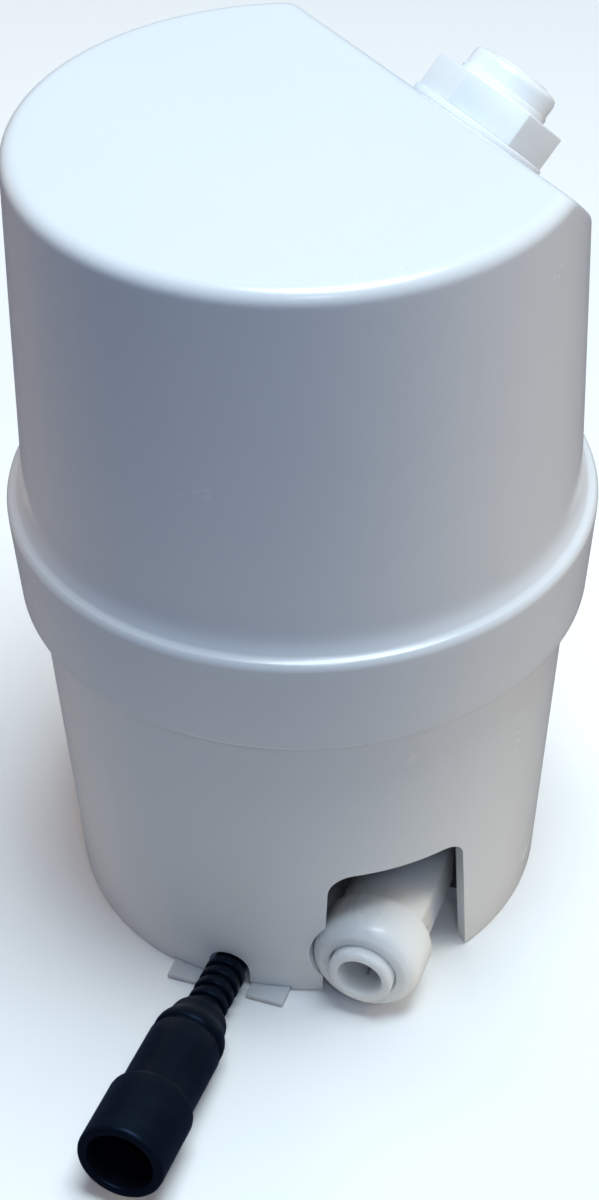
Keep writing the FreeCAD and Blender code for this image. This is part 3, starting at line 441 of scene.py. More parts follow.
def makeFibreWhite():
    tree = Tree("fibreWhite")
    lengthwise = tree.noise(1500, 3, 0.6, (1, 1, 0.03))
    tint = tree.ramp(lengthwise, [(0.3, (0.78, 0.77, 0.73)), (0.7, (0.93, 0.93, 0.90))])
    tree.join(tint, tree.shader.inputs["Base Color"])
    tree.join(tree.range(lengthwise, 0.45, 0.7), tree.shader.inputs["Roughness"])
    tree.set(Subsurface_Weight=0.3, Subsurface_Scale=0.001)
    tree.bump([(lengthwise, 0.00003, 0.5)])
    return tree.material


finishMakers = {
    "white_case": makeWhiteCase, "clear_plate": makeClearPlate, "steel": makeSteel,
    "seal_rubber": makeSealRubber, "pump_plastic": makePumpPlastic, "gear_plastic": makeGearPlastic,
    "fitting_plastic": makeFittingPlastic, "clear_tube": makeClearTube, "plated_steel": makePlatedSteel,
    "bronze": makeBronze, "ferrite": makeFerrite, "copper": makeCopper,
    "cartridge_clear": makeCartridgeClear, "cartridge_cap": makeCartridgeCap, "filter_felt": makeFilterFelt,
    "fibre_white": makeFibreWhite, "potting": makePotting, "milky_fitting": makeMilkyFitting,
    "white_collet": makeWhiteCollet, "white_union": makeWhiteUnion, "white_washer": makeWhiteWasher,
    "black_rubber": makeBlackRubber, "black_plastic": makeBlackPlastic, "red_wire": makeRedWire,
    "black_wire": makeBlackWire,
}
finishes = {slot: maker() for slot, maker in finishMakers.items()}
for nodeName, nodeObject in frame["nodes"].items():
    nodeObject.data.materials.clear()
    nodeObject.data.materials.append(finishes[slotOf[nodeName]])
print("materials made:", len(finishes))


def bodyOf(node):
    return next(body for body, nodes in frame["record"]["behaviour"]["bodies"].items() if node in nodes)


# Puts a finished mesh in the scene in place of the CAD nodes it stands for
def placePiece(name, mesh, *nodes):
    piece = bpy.data.objects.new(name, mesh)
    scene.collection.objects.link(piece)
    slot = slotOf[nodes[0]]
    mesh.materials.clear()
    mesh.materials.append(finishes[slot])
    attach(piece, bodyOf(nodes[0]))
    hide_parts(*nodes)
    return piece


def smoothMesh(bm, name, sharpAngle=35):
    bmesh.ops.recalc_face_normals(bm, faces=bm.faces)
    mesh = bpy.data.meshes.new(name)
    bm.to_mesh(mesh)
    bm.free()
    mesh.shade_smooth()
    mesh.set_sharp_from_angle(angle=math.radians(sharpAngle))
    return mesh


def evenAngles(count):
    return [2 * math.pi * step / count for step in range(count)]


# Spins (radius, height) points about Z; a radius of 0 is a pole
def lathe(bm, points, angles):
    rings = []
    for radius, height in points:
        if radius < 1e-7:
            rings.append([bm.verts.new((0, 0, height))])
            continue
        rings.append([bm.verts.new((radius * math.cos(a), radius * math.sin(a), height)) for a in angles])
    for low, high in zip(rings, rings[1:]):
        for step in range(len(angles)):
            corners = [low[step % len(low)], low[(step + 1) % len(low)],
                       high[(step + 1) % len(high)], high[step % len(high)]]
            bm.faces.new(list(dict.fromkeys(corners)))
    return rings


def arc(centreX, centreY, radius, fromDegrees, toDegrees, steps):
    turn = toDegrees - fromDegrees
    angles = [math.radians(fromDegrees + turn * step / steps) for step in range(steps + 1)]
    return [(centreX + radius * math.cos(a), centreY + radius * math.sin(a)) for a in angles]


def bezier(p0, p1, p2, p3, steps):
    points = []
    for step in range(steps + 1):
        t = step / steps
        weights = ((1 - t) ** 3, 3 * t * (1 - t) ** 2, 3 * t * t * (1 - t), t ** 3)
        points.append(tuple(sum(w * p[axis] for w, p in zip(weights, (p0, p1, p2, p3))) for axis in (0, 1)))
    return points


def stretch(start, end, steps):
    return [tuple(a + (b - a) * step / steps for a, b in zip(start, end)) for step in range(steps + 1)]


# A merged copy of a CAD piece with its edges softened
def softCopy(node, name, softness=0.15 * mm, segments=2, edgeAngle=40):
    bm = bmesh.new()
    bm.from_mesh(frame["nodes"][node].data)
    bmesh.ops.remove_doubles(bm, verts=bm.verts, dist=2e-6)
    if softness:
        bmesh.ops.dissolve_limit(bm, angle_limit=math.radians(0.4), verts=bm.verts, edges=bm.edges)
        sharp = [edge for edge in bm.edges
                 if edge.is_manifold and edge.calc_face_angle(0) > math.radians(edgeAngle)]
        bmesh.ops.bevel(bm, geom=sharp, offset=softness, segments=segments, profile=0.5, affect="EDGES",
                        clamp_overlap=True)
    return placePiece(name, smoothMesh(bm, name), node)


# The frame of a port, from the record's mounts: its mouth, with Z the way that it faces
def portFrame(name, faceAhead):
    port = next(row for row in frame["record"]["mounts"] if row["name"] == name)
    axis = Vector(port["axis"]).normalized()
    face = Vector(port["pos_m"]) + axis * faceAhead
    side = Vector((1, 0, 0)) if abs(axis.x) < 0.1 else Vector((-axis.y, axis.x, 0)).normalized()
    return Matrix.Translation(face) @ Matrix((side, axis.cross(side), axis)).transposed().to_4x4()


def turnedMesh(bm, points, count, place=Matrix()):
    rings = lathe(bm, points, evenAngles(count))
    for row in rings:
        for vert in row:
            vert.co = place @ vert.co
    return rings


# A closed prism from a flat outline of (x, y) points, drawn out along Z from low to high
def prismMesh(bm, outline, low, high, place=Matrix()):
    rows = [[bm.verts.new(place @ Vector((x, y, height))) for x, y in outline] for height in (low, high)]
    bm.faces.new(list(reversed(rows[0])))
    bm.faces.new(rows[1])
    for step in range(len(outline)):
        after = (step + 1) % len(outline)
        bm.faces.new([rows[0][step], rows[0][after], rows[1][after], rows[1][step]])


def boxOutline(left, right, front, back):
    return [(left, front), (right, front), (right, back), (left, back)]


def toolObject(name, build):
    bm = bmesh.new()
    build(bm)
    bmesh.ops.recalc_face_normals(bm, faces=bm.faces)
    mesh = bpy.data.meshes.new(name)
    bm.to_mesh(mesh)
    bm.free()
    tool = bpy.data.objects.new(name, mesh)
    scene.collection.objects.link(tool)
    return tool


# Evaluates an object's modifiers into a plain mesh and drops the object
def evaluatedMesh(item):
    bpy.context.view_layer.update()
    mesh = bpy.data.meshes.new_from_object(item.evaluated_get(bpy.context.evaluated_depsgraph_get()))
    old = item.data
    bpy.data.objects.remove(item)
    if old.users == 0:
        bpy.data.meshes.remove(old)
    return mesh


# Cuts each tool out of a solid mesh
def cutAway(bm, name, toolBuilders):
    solid = toolObject(name, lambda target: None)
    bmesh.ops.recalc_face_normals(bm, faces=bm.faces)
    bm.to_mesh(solid.data)
    bm.free()
    tools = [toolObject(f"{name}Tool{index}", build) for index, build in enumerate(toolBuilders)]
    for tool in tools:
        cutter = solid.modifiers.new(tool.name, "BOOLEAN")
        cutter.operation = "DIFFERENCE"
        cutter.solver = "EXACT"
        cutter.object = tool
    mesh = evaluatedMesh(solid)
    for tool in tools:
        bpy.data.objects.remove(tool)
    return mesh


def meshToBm(mesh):
    bm = bmesh.new()
    bm.from_mesh(mesh)
    bpy.data.meshes.remove(mesh)
    bmesh.ops.remove_doubles(bm, verts=bm.verts, dist=1e-7)
    return bm


# A Geometry Nodes tree in code: named inputs, then nodes joined by hand
class GeoTree:
    def __init__(self, name, inputs):
        self.group = bpy.data.node_groups.new(name, "GeometryNodeTree")
        self.group.interface.new_socket("Geometry", in_out="OUTPUT", socket_type="NodeSocketGeometry")
        self.ids = {}
        for label, value in inputs.items():
            kind = "NodeSocketInt" if isinstance(value, int) else "NodeSocketFloat"
            socket = self.group.interface.new_socket(label, in_out="INPUT", socket_type=kind)
            self.ids[label] = socket.identifier
        self.inputs = inputs
        self.entry = self.group.nodes.new("NodeGroupInput").outputs
        self.exit = self.group.nodes.new("NodeGroupOutput")

    def add(self, kind, links=None, **settings):
        node = self.group.nodes.new(kind)
        for key, value in settings.items():
            setattr(node, key, value)
        for key, value in (links or {}).items():
            if hasattr(value, "is_output"):
                self.group.links.new(value, node.inputs[key])
            else:
                node.inputs[key].default_value = value
        return node.outputs

    # Realizes, gives the material, and returns the result as a plain mesh
    def grow(self, geometry, material):
        real = self.add("GeometryNodeRealizeInstances", {"Geometry": geometry})["Geometry"]
        dressed = self.add("GeometryNodeSetMaterial", {"Geometry": real, "Material": material})["Geometry"]
        self.group.links.new(dressed, self.exit.inputs["Geometry"])
        item = bpy.data.objects.new(self.group.name, bpy.data.meshes.new(self.group.name))
        scene.collection.objects.link(item)
        modifier = item.modifiers.new(self.group.name, "NODES")
        modifier.node_group = self.group
        for label, value in self.inputs.items():
            modifier[self.ids[label]] = value
        return evaluatedMesh(item)


upperCup = {
    "topRadius": 37.9 * mm,
    "facetChord": 19.1 * mm,
    "facetAzimuth": 142.0,
    "facetSlope": 45.0,
    "edgeRound": 2.2 * mm,
    "facetBlend": 0.8 * mm,
    "wall": 2.2 * mm,
    "shoulderRadius": 39.0 * mm,
    "shoulderTop": 6.8 * mm,
    "collarDrop": 55.1 * mm,
    "skirtRadius": 40.6 * mm,
    "skirtBore": 38.6 * mm,
    "seamGap": 0.4 * mm,
    "noseRound": 1.5 * mm,
    "seamRound": 0.6 * mm,
    "boreHeight": 13.1 * mm,
    "innerShoulder": 18.5 * mm,
    "fineStep": 0.36 * mm,
    "facetSpread": 64.0,
    "fineSegments": 190,
    "plainSegments": 110,
}


def facetAxes():
    azimuth = math.radians(upperCup["facetAzimuth"])
    slope = math.radians(upperCup["facetSlope"])
    outward = Vector((math.sin(azimuth), -math.cos(azimuth), 0))
    return outward, outward * math.sin(slope) + Vector((0, 0, math.cos(slope)))


# Presses whatever stands beyond the sloping plane back onto it, with a rounded edge
def pressFacet(verts, height, blend):
    outward, normal = facetAxes()
    level = normal.dot(outward * upperCup["facetChord"] + Vector((0, 0, height)))
    for vert in verts:
        beyond = normal.dot(vert.co) - level
        if beyond > -blend:
            vert.co -= normal * (beyond if beyond >= blend else (beyond + blend) ** 2 / (4 * blend))


# Segment angles about Z, closer together across the facet
def cupAngles():
    centre = math.radians(upperCup["facetAzimuth"] - 90)
    spread = math.radians(upperCup["facetSpread"])
    fine, plain = upperCup["fineSegments"], upperCup["plainSegments"]
    rest = 2 * math.pi - 2 * spread
    return [centre - spread + 2 * spread * step / fine for step in range(fine)] + \
        [centre + spread + rest * step / plain for step in range(plain)]


def makeUpperCup():
    low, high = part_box("upper_cup")
    collarRadius = (high.x - low.x) / 2
    top, seam = high.z, low.z + upperCup["seamGap"]
    collar = top - upperCup["collarDrop"]
    wall, rim, step = upperCup["wall"], upperCup["edgeRound"], upperCup["fineStep"]
    topRadius = upperCup["topRadius"]
    chord = upperCup["facetChord"]
    shoulder = (upperCup["shoulderRadius"], collar + upperCup["shoulderTop"])
    facetFoot = top - (topRadius - chord) - 1.5 * mm
    taper = (shoulder[0] - topRadius) / (top - shoulder[1])
    footRadius = topRadius + taper * (top - facetFoot)
    nose, seamRound = upperCup["noseRound"], upperCup["seamRound"]
    flatReach = chord - 2 * mm

    bm = bmesh.new()
    outline = stretch((0, top), (flatReach, top), 8)
    flatSteps = round((topRadius - rim - flatReach) / step)
    outline += stretch((flatReach, top), (topRadius - rim, top), flatSteps)[1:]
    outline += arc(topRadius - rim, top - rim, rim, 90, 1, 9)[1:]
    outline += stretch(outline[-1], (footRadius, facetFoot), round((top - rim - facetFoot) / step))[1:]
    outline += stretch((footRadius, facetFoot), shoulder, 10)[1:]
    outline += bezier(shoulder, (shoulder[0] + 0.05 * mm, collar + 3.7 * mm),
                      (collarRadius - 2.5 * mm, collar + 2.9 * mm),
                      (collarRadius - nose * 0.85, collar + 1.05 * mm), 14)[1:]
    outline += arc(collarRadius - nose, collar - 0.25 * mm, nose, 58, -2, 10)[1:]
    outline += stretch((collarRadius - 0.02 * mm, collar - 1.0 * mm),
                       (upperCup["skirtRadius"] + 0.02 * mm, seam + 0.7 * mm), 6)
    outline += arc(upperCup["skirtRadius"] - seamRound, seam + seamRound, seamRound, 0, -90, 5)[1:]
    bore = upperCup["skirtBore"]
    innerTop = top - wall
    inside = [outline[-1], (bore + 0.4 * mm, seam)]
    inside += stretch((bore, seam + 0.4 * mm), (bore, seam + upperCup["boreHeight"]), 4)
    inside += stretch((shoulder[0] - wall, seam + upperCup["innerShoulder"]), (topRadius - wall, innerTop), 44)
    inside += stretch((topRadius - wall, innerTop), (0, innerTop), 30)[1:]
    angles = cupAngles()
    outerRings = lathe(bm, outline, angles)
    innerRings = lathe(bm, inside, angles)
    pressFacet([vert for row in outerRings for vert in row], top, upperCup["facetBlend"])
    pressFacet([vert for row in innerRings for vert in row], top - wall * math.sqrt(2), 0.3 * mm)
    bmesh.ops.remove_doubles(bm, verts=bm.verts, dist=1e-6)
    return placePiece("upperCupShell", smoothMesh(bm, "upperCupShell", 62), "upper_cup")


makeUpperCup()
print("upper cup made")


lowerCup = {
    "rimRadius": 35.1 * mm,
    "seamRadius": 38.2 * mm,
    "seamHeight": 52.9 * mm,
    "wall": 2.4 * mm,
    "spigotBore": 34.9 * mm,
    "ledgeBore": 32.5 * mm,
    "ledgeTop": 53.0 * mm,
    "ledgeFoot": 49.5 * mm,
    "ledgeSlope": 46.5 * mm,
    "grooveHeight": 60.0 * mm,
    "grooveHalf": 1.1 * mm,
    "grooveDepth": 1.62 * mm,
    "rimRound": 0.5 * mm,
    "segments": 288,
    "notchAzimuth": 42.0,
    "notchFoot": (-11.75 * mm, 11.55 * mm),
    "notchTop": (-11.3 * mm, 9.6 * mm),
    "notchHeight": 24.8 * mm,
    "notchCorner": 3.5 * mm,
    "barrelRelief": 8.23 * mm,
    "tongueSlot": (9.2 * mm, 1.0 * mm),
    "leadArch": (3.15 * mm, 3.45 * mm),
    "cutBelow": 2 * mm,
    "cutBeyond": 50 * mm,
    "bossRadius": 3.4 * mm,
    # radius and turn about Z, then foot and head heights, in millimetres and degrees
    "bosses": [(28.0, -50, 2.6, 14.6), (28.0, 125, 2.6, 14.6), (28.0, 215, 2.6, 14.6),
               (31.4, 0, 41.0, 53.0), (31.4, 120, 41.0, 53.0), (31.4, 240, 41.0, 53.0)],
}


def notchOutline():
    left, right = lowerCup["notchFoot"]
    topLeft, topRight = lowerCup["notchTop"]
    height, corner = lowerCup["notchHeight"], lowerCup["notchCorner"]
    outline = [(left, -lowerCup["cutBelow"]), (right, -lowerCup["cutBelow"])]
    outline += arc(topRight - corner, height - corner, corner, 0, 90, 10)
    outline += arc(topLeft + corner, height - corner, corner, 90, 180, 10)
    return outline


def makeLowerCup():
    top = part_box("lower_cup")[1].z
    rim, seam, wall = lowerCup["rimRadius"], lowerCup["seamRadius"], lowerCup["wall"]
    seamHeight = lowerCup["seamHeight"]
    curve = lowerCup["rimRound"]
    groove, half, depth = (lowerCup[key] for key in ("grooveHeight", "grooveHalf", "grooveDepth"))
    outline = [(rim - wall, curve)] + arc(rim - wall + curve, curve, curve, 180, 270, 3)[1:]
    outline += arc(rim - curve, curve, curve, -90, 3, 5)
    outline += stretch(outline[-1], (seam, seamHeight), 8)[1:]
    outline += [(seam, groove - half), (seam - depth, groove - half), (seam - depth, groove + half),
                (seam, groove + half), (seam, top - 0.6 * mm), (seam - 0.6 * mm, top)]
    outline += [(lowerCup["spigotBore"] + 0.3 * mm, top), (lowerCup["spigotBore"], top - 0.3 * mm),
                (lowerCup["spigotBore"], lowerCup["ledgeTop"]), (lowerCup["ledgeBore"], lowerCup["ledgeTop"]),
                (lowerCup["ledgeBore"], lowerCup["ledgeFoot"]),
                (seam - 0.4 * mm - wall, lowerCup["ledgeSlope"]), (rim - wall, curve)]
    bm = bmesh.new()
    rings = lathe(bm, outline, evenAngles(lowerCup["segments"]))
    bmesh.ops.remove_doubles(bm, verts=rings[0] + rings[-1], dist=1e-7)

    # the cutters start inside the cup and reach past its wall and its rim
    below, beyond = lowerCup["cutBelow"], lowerCup["cutBeyond"]
    azimuth = math.radians(lowerCup["notchAzimuth"])
    outward = Vector((math.sin(azimuth), -math.cos(azimuth), 0))
    along = Vector((math.cos(azimuth), math.sin(azimuth), 0))
    notchPlace = Matrix((along, Vector((0, 0, 1)), outward)).transposed().to_4x4()
    facing = Matrix.Rotation(math.radians(90), 4, "X")
    inlet = portFrame("inlet_tube", 0)
    slotHalf, slotTop = lowerCup["tongueSlot"]
    slot = boxOutline(-slotHalf, slotHalf, -below, slotTop)
    archHalf, archHeight = lowerCup["leadArch"]
    arch = [(-archHalf, -below), (archHalf, -below)] + arc(0, archHeight, archHalf, 0, 180, 20)
    relief = lowerCup["barrelRelief"]
    rod = [(0, -12 * mm), (relief, -12 * mm), (relief, 12 * mm), (0, 12 * mm)]
    mesh = cutAway(bm, "lowerCupSolid", [
        lambda tool: prismMesh(tool, notchOutline(), 20 * mm, beyond, notchPlace),
        lambda tool: turnedMesh(tool, rod, 64, inlet),
        lambda tool: prismMesh(tool, slot, 25 * mm, beyond, facing),
        lambda tool: prismMesh(tool, arch, 25 * mm, beyond, facing),
    ])
    bm = meshToBm(mesh)
    for radius, turn, foot, head in lowerCup["bosses"]:
        angle = math.radians(turn)
        spot = Matrix.Translation((radius * mm * math.sin(angle), -radius * mm * math.cos(angle), 0))
        boss = lowerCup["bossRadius"]
        turnedMesh(bm, [(0, foot * mm), (boss - 0.3 * mm, foot * mm), (boss, foot * mm + 0.3 * mm),
                        (boss, head * mm), (0, head * mm)], 40, spot)
    return placePiece("lowerCupShell", smoothMesh(bm, "lowerCupShell", 32), "lower_cup")


makeLowerCup()
softCopy("base_plate", "basePlate", 0.12 * mm, 2)
print("lower cup made")


powerSocket = {
    "length": 41.3 * mm,
    "coreRadius": 2.45 * mm,
    "ribs": {"ribCount": 4, "ribPitch": 2.3 * mm, "ribStart": 1.6 * mm, "ribRadius": 2.2 * mm,
             "ribWidth": 1.4 * mm, "ribHeight": 1.6 * mm, "ribRound": 0.28 * mm},
    "sleeve": 6.25 * mm,
    "bore": 4.75 * mm,
    "boreDepth": 13.0 * mm,
    "bodyRadius": 5.42 * mm,
    "rimRound": 0.7 * mm,
    "boreRound": 0.45 * mm,
    "segments": 96,
    # radius and distance along the lead, in millimetres
    "reliefEnd": [(2.45, 9.6), (3.05, 9.9), (3.1, 10.6), (3.9, 11.4)],
    "collarCurve": [(3.9, 11.4), (4.2, 11.8), (4.25, 12.4), (4.35, 13.0)],
    "bodyStart": [(4.35, 13.0), (4.5, 14.2), (5.2, 14.6), (5.3, 15.8)],
    "bandGroove": [(5.3, 16.5), (5.2, 16.75), (5.0, 16.9), (5.0, 17.3), (5.2, 17.5), (5.4, 17.9)],
}


def inMillimetres(points):
    return [(x * mm, y * mm) for x, y in points]


# Rings of rounded section, spaced along the lead's strain relief
def ribMesh():
    tree = GeoTree("reliefRibs", powerSocket["ribs"])
    section = tree.add("GeometryNodeCurvePrimitiveQuadrilateral",
                       {"Width": tree.entry["ribHeight"], "Height": tree.entry["ribWidth"]})["Curve"]
    soft = tree.add("GeometryNodeFilletCurve",
                    {"Curve": section, "Radius": tree.entry["ribRound"], "Count": 4}, mode="POLY")["Curve"]
    hoop = tree.add("GeometryNodeCurvePrimitiveCircle",
                    {"Resolution": 72, "Radius": tree.entry["ribRadius"]})["Curve"]
    rib = tree.add("GeometryNodeCurveToMesh", {"Curve": hoop, "Profile Curve": soft})["Mesh"]
    start = tree.add("ShaderNodeCombineXYZ", {"Z": tree.entry["ribStart"]})["Vector"]
    pitch = tree.add("ShaderNodeCombineXYZ", {"Z": tree.entry["ribPitch"]})["Vector"]
    line = tree.add("GeometryNodeMeshLine", {"Count": tree.entry["ribCount"], "Start Location": start,
                                             "Offset": pitch})["Mesh"]
    ribs = tree.add("GeometryNodeInstanceOnPoints", {"Points": line, "Instance": rib})["Instances"]
    return tree.grow(ribs, finishes["black_rubber"])


def makePowerSocket():
    length, core, sleeve, bore = (powerSocket[key] for key in ("length", "coreRadius", "sleeve", "bore"))
    rimRound, boreRound = powerSocket["rimRound"], powerSocket["boreRound"]
    place = portFrame("power_lead", 0) @ Matrix.Translation((0, 0, -length))
    bm = bmesh.new()
    outline = [(0, -4.5 * mm), (core, -4.5 * mm)] + stretch((core, 0.2 * mm), (core, 9.6 * mm), 4)
    for key, steps in (("reliefEnd", 5), ("collarCurve", 4), ("bodyStart", 6)):
        outline += bezier(*inMillimetres(powerSocket[key]), steps)[1:]
    outline += inMillimetres(powerSocket["bandGroove"])
    bodyEnd = (powerSocket["bodyRadius"], length - 12.4 * mm)
    outline += stretch(outline[-1], bodyEnd, 4)[1:]
    outline += bezier(bodyEnd, (5.44 * mm, length - 11.7 * mm), (sleeve - 0.05 * mm, length - 11.9 * mm),
                      (sleeve, length - 11.0 * mm), 6)[1:]
    outline += stretch((sleeve, length - 11.0 * mm), (sleeve, length - 0.75 * mm), 3)[1:]
    outline += arc(sleeve - rimRound, length - rimRound, rimRound, 0, 90, 6)[1:]
    outline += arc(bore + boreRound, length - boreRound, boreRound, 90, 180, 4)
    outline += [(bore, length - powerSocket["boreDepth"]), (0, length - powerSocket["boreDepth"])]
    turnedMesh(bm, outline, powerSocket["segments"], place)
    ribs = ribMesh()
    ribs.transform(place)
    bm.from_mesh(ribs)
    bpy.data.meshes.remove(ribs)
    # the block that holds the lead inside the wall
    anchor = boxOutline(-5.5 * mm, 5.5 * mm, 2.6 * mm, 9.0 * mm)
    before = set(bm.edges)
    prismMesh(bm, anchor, 30.2 * mm, 31.9 * mm, Matrix.Rotation(math.radians(90), 4, "X"))
    fresh = [edge for edge in bm.edges if edge not in before]
    bmesh.ops.bevel(bm, geom=fresh, offset=0.3 * mm, segments=3, profile=0.5, affect="EDGES")
    return placePiece("powerSocketMoulding", smoothMesh(bm, "powerSocketMoulding", 40), "power_socket")


makePowerSocket()
softCopy("socket_insert", "socketInsert", 0.12 * mm, 2)
print("power socket made")


fittings = {
    "inletBarrel": 8.15 * mm,
    "inletNeck": 7.2 * mm,
    "inletFlat": 6.15 * mm,
    "barrelLength": 8.0 * mm,
    "neckEnd": 25.0 * mm,
    "stemEnd": 32.6 * mm,
    "tubeBore": 3.25 * mm,
    "colletFlange": 4.8 * mm,
    "colletSkirt": 3.95 * mm,
    "colletDepth": 8.5 * mm,
    "slitWidth": 0.55 * mm,
    "flowRadius": 2.3 * mm,
    "segments": 96,
    # the way in, from the tube stop out to the rim of the flange's pocket: radius and height in millimetres
    "gripWay": [(2.3, -15.5), (3.2, -15.5), (3.2, -12.4), (4.9, -12.4), (4.9, -6.0), (4.1, -6.0), (4.1, -3.4),
                (5.0, -3.4), (5.0, -0.25), (5.15, 0)],
}


def makeInletFitting():
    place = portFrame("inlet_tube", 3.7 * mm)
    barrel, neck, flat = (fittings[key] for key in ("inletBarrel", "inletNeck", "inletFlat"))
    barrelEnd, neckEnd, stemEnd = (-fittings[key] for key in ("barrelLength", "neckEnd", "stemEnd"))
    bm = bmesh.new()
    flow = fittings["flowRadius"]
    outline = [(flow, stemEnd)] + inMillimetres(fittings["gripWay"])
    outline += [(6.3 * mm, 0)] + arc(6.35 * mm, -0.45 * mm, 0.45 * mm, 90, 40, 3)
    outline += bezier((6.75 * mm, -0.25 * mm), (7.6 * mm, -0.75 * mm), (8.05 * mm, -1.6 * mm),
                      (barrel, -3.0 * mm), 10)[1:]
    outline += stretch((barrel, -3.0 * mm), (barrel, barrelEnd + 0.8 * mm), 2)[1:]
    outline += arc(barrel - 0.8 * mm, barrelEnd + 0.8 * mm, 0.8 * mm, 0, -80, 6)[1:]
    outline += [(neck, barrelEnd - 0.1 * mm)]
    outline += stretch((neck, barrelEnd - 0.6 * mm), (neck, neckEnd), 6)
    outline += [(4.85 * mm, neckEnd), (4.85 * mm, stemEnd + 0.5 * mm), (4.4 * mm, stemEnd), (flow, stemEnd)]
    rings = lathe(bm, outline, evenAngles(fittings["segments"]))
    for row in rings:
        for vert in row:
            onNeck = vert.co.z < barrelEnd - 0.05 * mm and vert.co.z > neckEnd - 0.05 * mm
            if onNeck and abs(vert.co.x) > flat:
                vert.co.x = math.copysign(flat, vert.co.x)
            vert.co = place @ vert.co
    bmesh.ops.remove_doubles(bm, verts=bm.verts, dist=1e-7)
    return placePiece("inletFittingBody", smoothMesh(bm, "inletFittingBody", 24), "inlet_fitting")


# A collet: a rounded flange, and a skirt slit four ways so that it can grip
def makeCollet(node, name, port, faceAhead, proud):
    sizes = ("tubeBore", "colletFlange", "colletSkirt", "colletDepth")
    bore, flange, skirt, depth = (fittings[key] for key in sizes)
    bm = bmesh.new()
    outline = [(bore, -depth), (4.3 * mm, -depth), (4.3 * mm, -depth + 1.4 * mm), (skirt, -depth + 2.6 * mm),
               (skirt, -1.6 * mm), (flange - 0.2 * mm, -1.6 * mm), (flange, -1.4 * mm)]
    outline += arc(flange - 0.7 * mm, proud - 0.7 * mm, 0.7 * mm, 0, 90, 7)
    outline += arc(bore + 0.5 * mm, proud - 0.5 * mm, 0.5 * mm, 90, 180, 6) + [(bore, -depth)]
    rings = lathe(bm, outline, evenAngles(fittings["segments"]))
    bmesh.ops.remove_doubles(bm, verts=rings[0] + rings[-1], dist=1e-7)
    half = fittings["slitWidth"] / 2
    mesh = cutAway(bm, f"{name}Solid", [
        lambda tool: prismMesh(tool, boxOutline(-half, half, -6 * mm, 6 * mm), -12 * mm, -2.4 * mm),
        lambda tool: prismMesh(tool, boxOutline(-6 * mm, 6 * mm, -half, half), -12 * mm, -2.4 * mm),
    ])
    mesh.transform(portFrame(port, faceAhead))
    return placePiece(name, smoothMesh(meshToBm(mesh), name, 35), node)


makeInletFitting()
makeCollet("inlet_collet", "inletColletRing", "inlet_tube", 3.7 * mm, 1.6 * mm)
makeCollet("outlet_collet", "outletColletRing", "outlet_tube", 4.3 * mm, 0.4 * mm)
softCopy("outlet_union", "outletUnionBody", 0.15 * mm, 2)
softCopy("outlet_nut", "outletNutHex", 0.35 * mm, 3)
softCopy("outlet_washer", "outletWasherRing", 0.2 * mm, 2)
print("fittings made")


fibreBundle = {"bundleRadius": 27.2 * mm, "fibreRadius": 0.56 * mm, "fibreGap": 1.5 * mm,
               "fibreLength": 18.4 * mm, "waver": 0.7 * mm, "seed": 7}


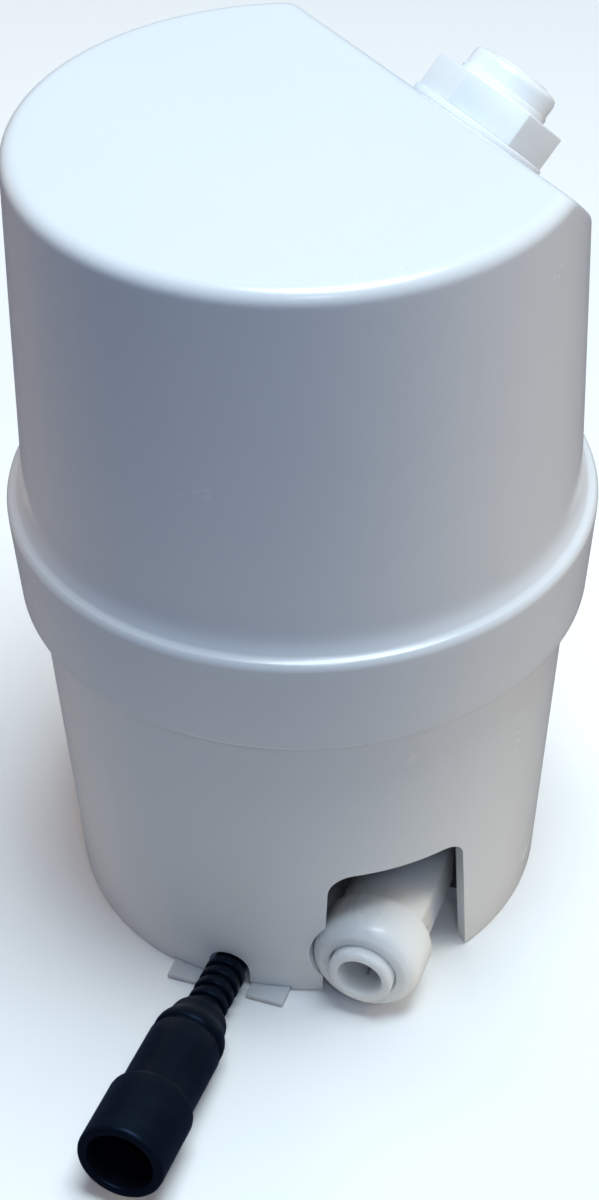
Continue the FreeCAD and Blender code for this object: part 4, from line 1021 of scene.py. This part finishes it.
# Hundreds of fine fibres standing side by side, each a little out of true
def makeFibres():
    low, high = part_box("hollow_fibres")
    fibreBundle["fibreLength"] = high.z - low.z
    tree = GeoTree("fibreBundle", fibreBundle)
    disc = tree.add("GeometryNodeMeshCircle", {"Vertices": 64, "Radius": tree.entry["bundleRadius"]},
                    fill_type="NGON")["Mesh"]
    scatter = tree.add("GeometryNodeDistributePointsOnFaces",
                       {"Mesh": disc, "Distance Min": tree.entry["fibreGap"], "Density Max": 2.0e6,
                        "Seed": tree.entry["seed"]}, distribute_method="POISSON")["Points"]
    tip = tree.add("ShaderNodeCombineXYZ", {"Z": tree.entry["fibreLength"]})["Vector"]
    line = tree.add("GeometryNodeCurvePrimitiveLine", {"End": tip})["Curve"]
    steps = tree.add("GeometryNodeResampleCurve", {"Curve": line, "Count": 7})["Curve"]
    section = tree.add("GeometryNodeCurvePrimitiveCircle",
                       {"Resolution": 6, "Radius": tree.entry["fibreRadius"]})["Curve"]
    fibre = tree.add("GeometryNodeCurveToMesh", {"Curve": steps, "Profile Curve": section,
                                                 "Fill Caps": True})["Mesh"]
    stand = tree.add("GeometryNodeInstanceOnPoints", {"Points": scatter, "Instance": fibre})["Instances"]
    real = tree.add("GeometryNodeRealizeInstances", {"Geometry": stand})["Geometry"]
    field = tree.add("ShaderNodeTexNoise", {"Scale": 160.0, "Detail": 1.0})["Color"]
    centred = tree.add("ShaderNodeVectorMath", {0: field, 1: (0.5, 0.5, 0.5)}, operation="SUBTRACT")["Vector"]
    flat = tree.add("ShaderNodeVectorMath", {0: centred, 1: (1, 1, 0)}, operation="MULTIPLY")["Vector"]
    sway = tree.add("ShaderNodeVectorMath", {0: flat, "Scale": tree.entry["waver"]},
                    operation="SCALE")["Vector"]
    moved = tree.add("GeometryNodeSetPosition", {"Geometry": real, "Offset": sway})["Geometry"]
    mesh = tree.grow(moved, finishes["fibre_white"])
    mesh.transform(Matrix.Translation((0, 0, low.z)))
    mesh.name = "hollowFibreBundle"
    mesh.shade_smooth()
    mesh.set_sharp_from_angle(angle=math.radians(70))
    return placePiece("hollowFibreBundle", mesh, "hollow_fibres")


makeFibres()
print("fibre bundle made")

# The rest keeps its CAD shape, merged for even shading and with its edges broken
insidePieces = {
    "cartridge_shell": 0.15, "cartridge_base_cap": 0.25, "cartridge_top_cap": 0.3, "cartridge_seals": 0,
    "prefilter_disc": 0.3, "potting_disc": 0.1, "filter_deck": 0.2, "deck_screws": 0.05, "base_screws": 0.05,
    "pump_screws": 0.05, "cup_seal_ring": 0, "riser_tube": 0.15, "outlet_elbow": 0.2, "pump_body": 0.25,
    "pump_cover": 0.2, "motor_can": 0.3, "motor_end_cap": 0.15, "motor_shaft": 0.1, "motor_terminals": 0.05,
    "outlet_barb": 0.08, "contact_pins": 0.12, "red_lead": 0, "black_lead": 0, "inlet_grab_ring": 0,
    "outlet_grab_ring": 0, "inlet_tube_seal": 0, "outlet_tube_seal": 0,
}


def pieceName(node):
    first, *rest = node.split("_")
    return first + "".join(word.capitalize() for word in rest) + "Piece"


for nodeName, softness in insidePieces.items():
    softCopy(nodeName, pieceName(nodeName), softness * mm, 2)
print("inside pieces made:", len(insidePieces))
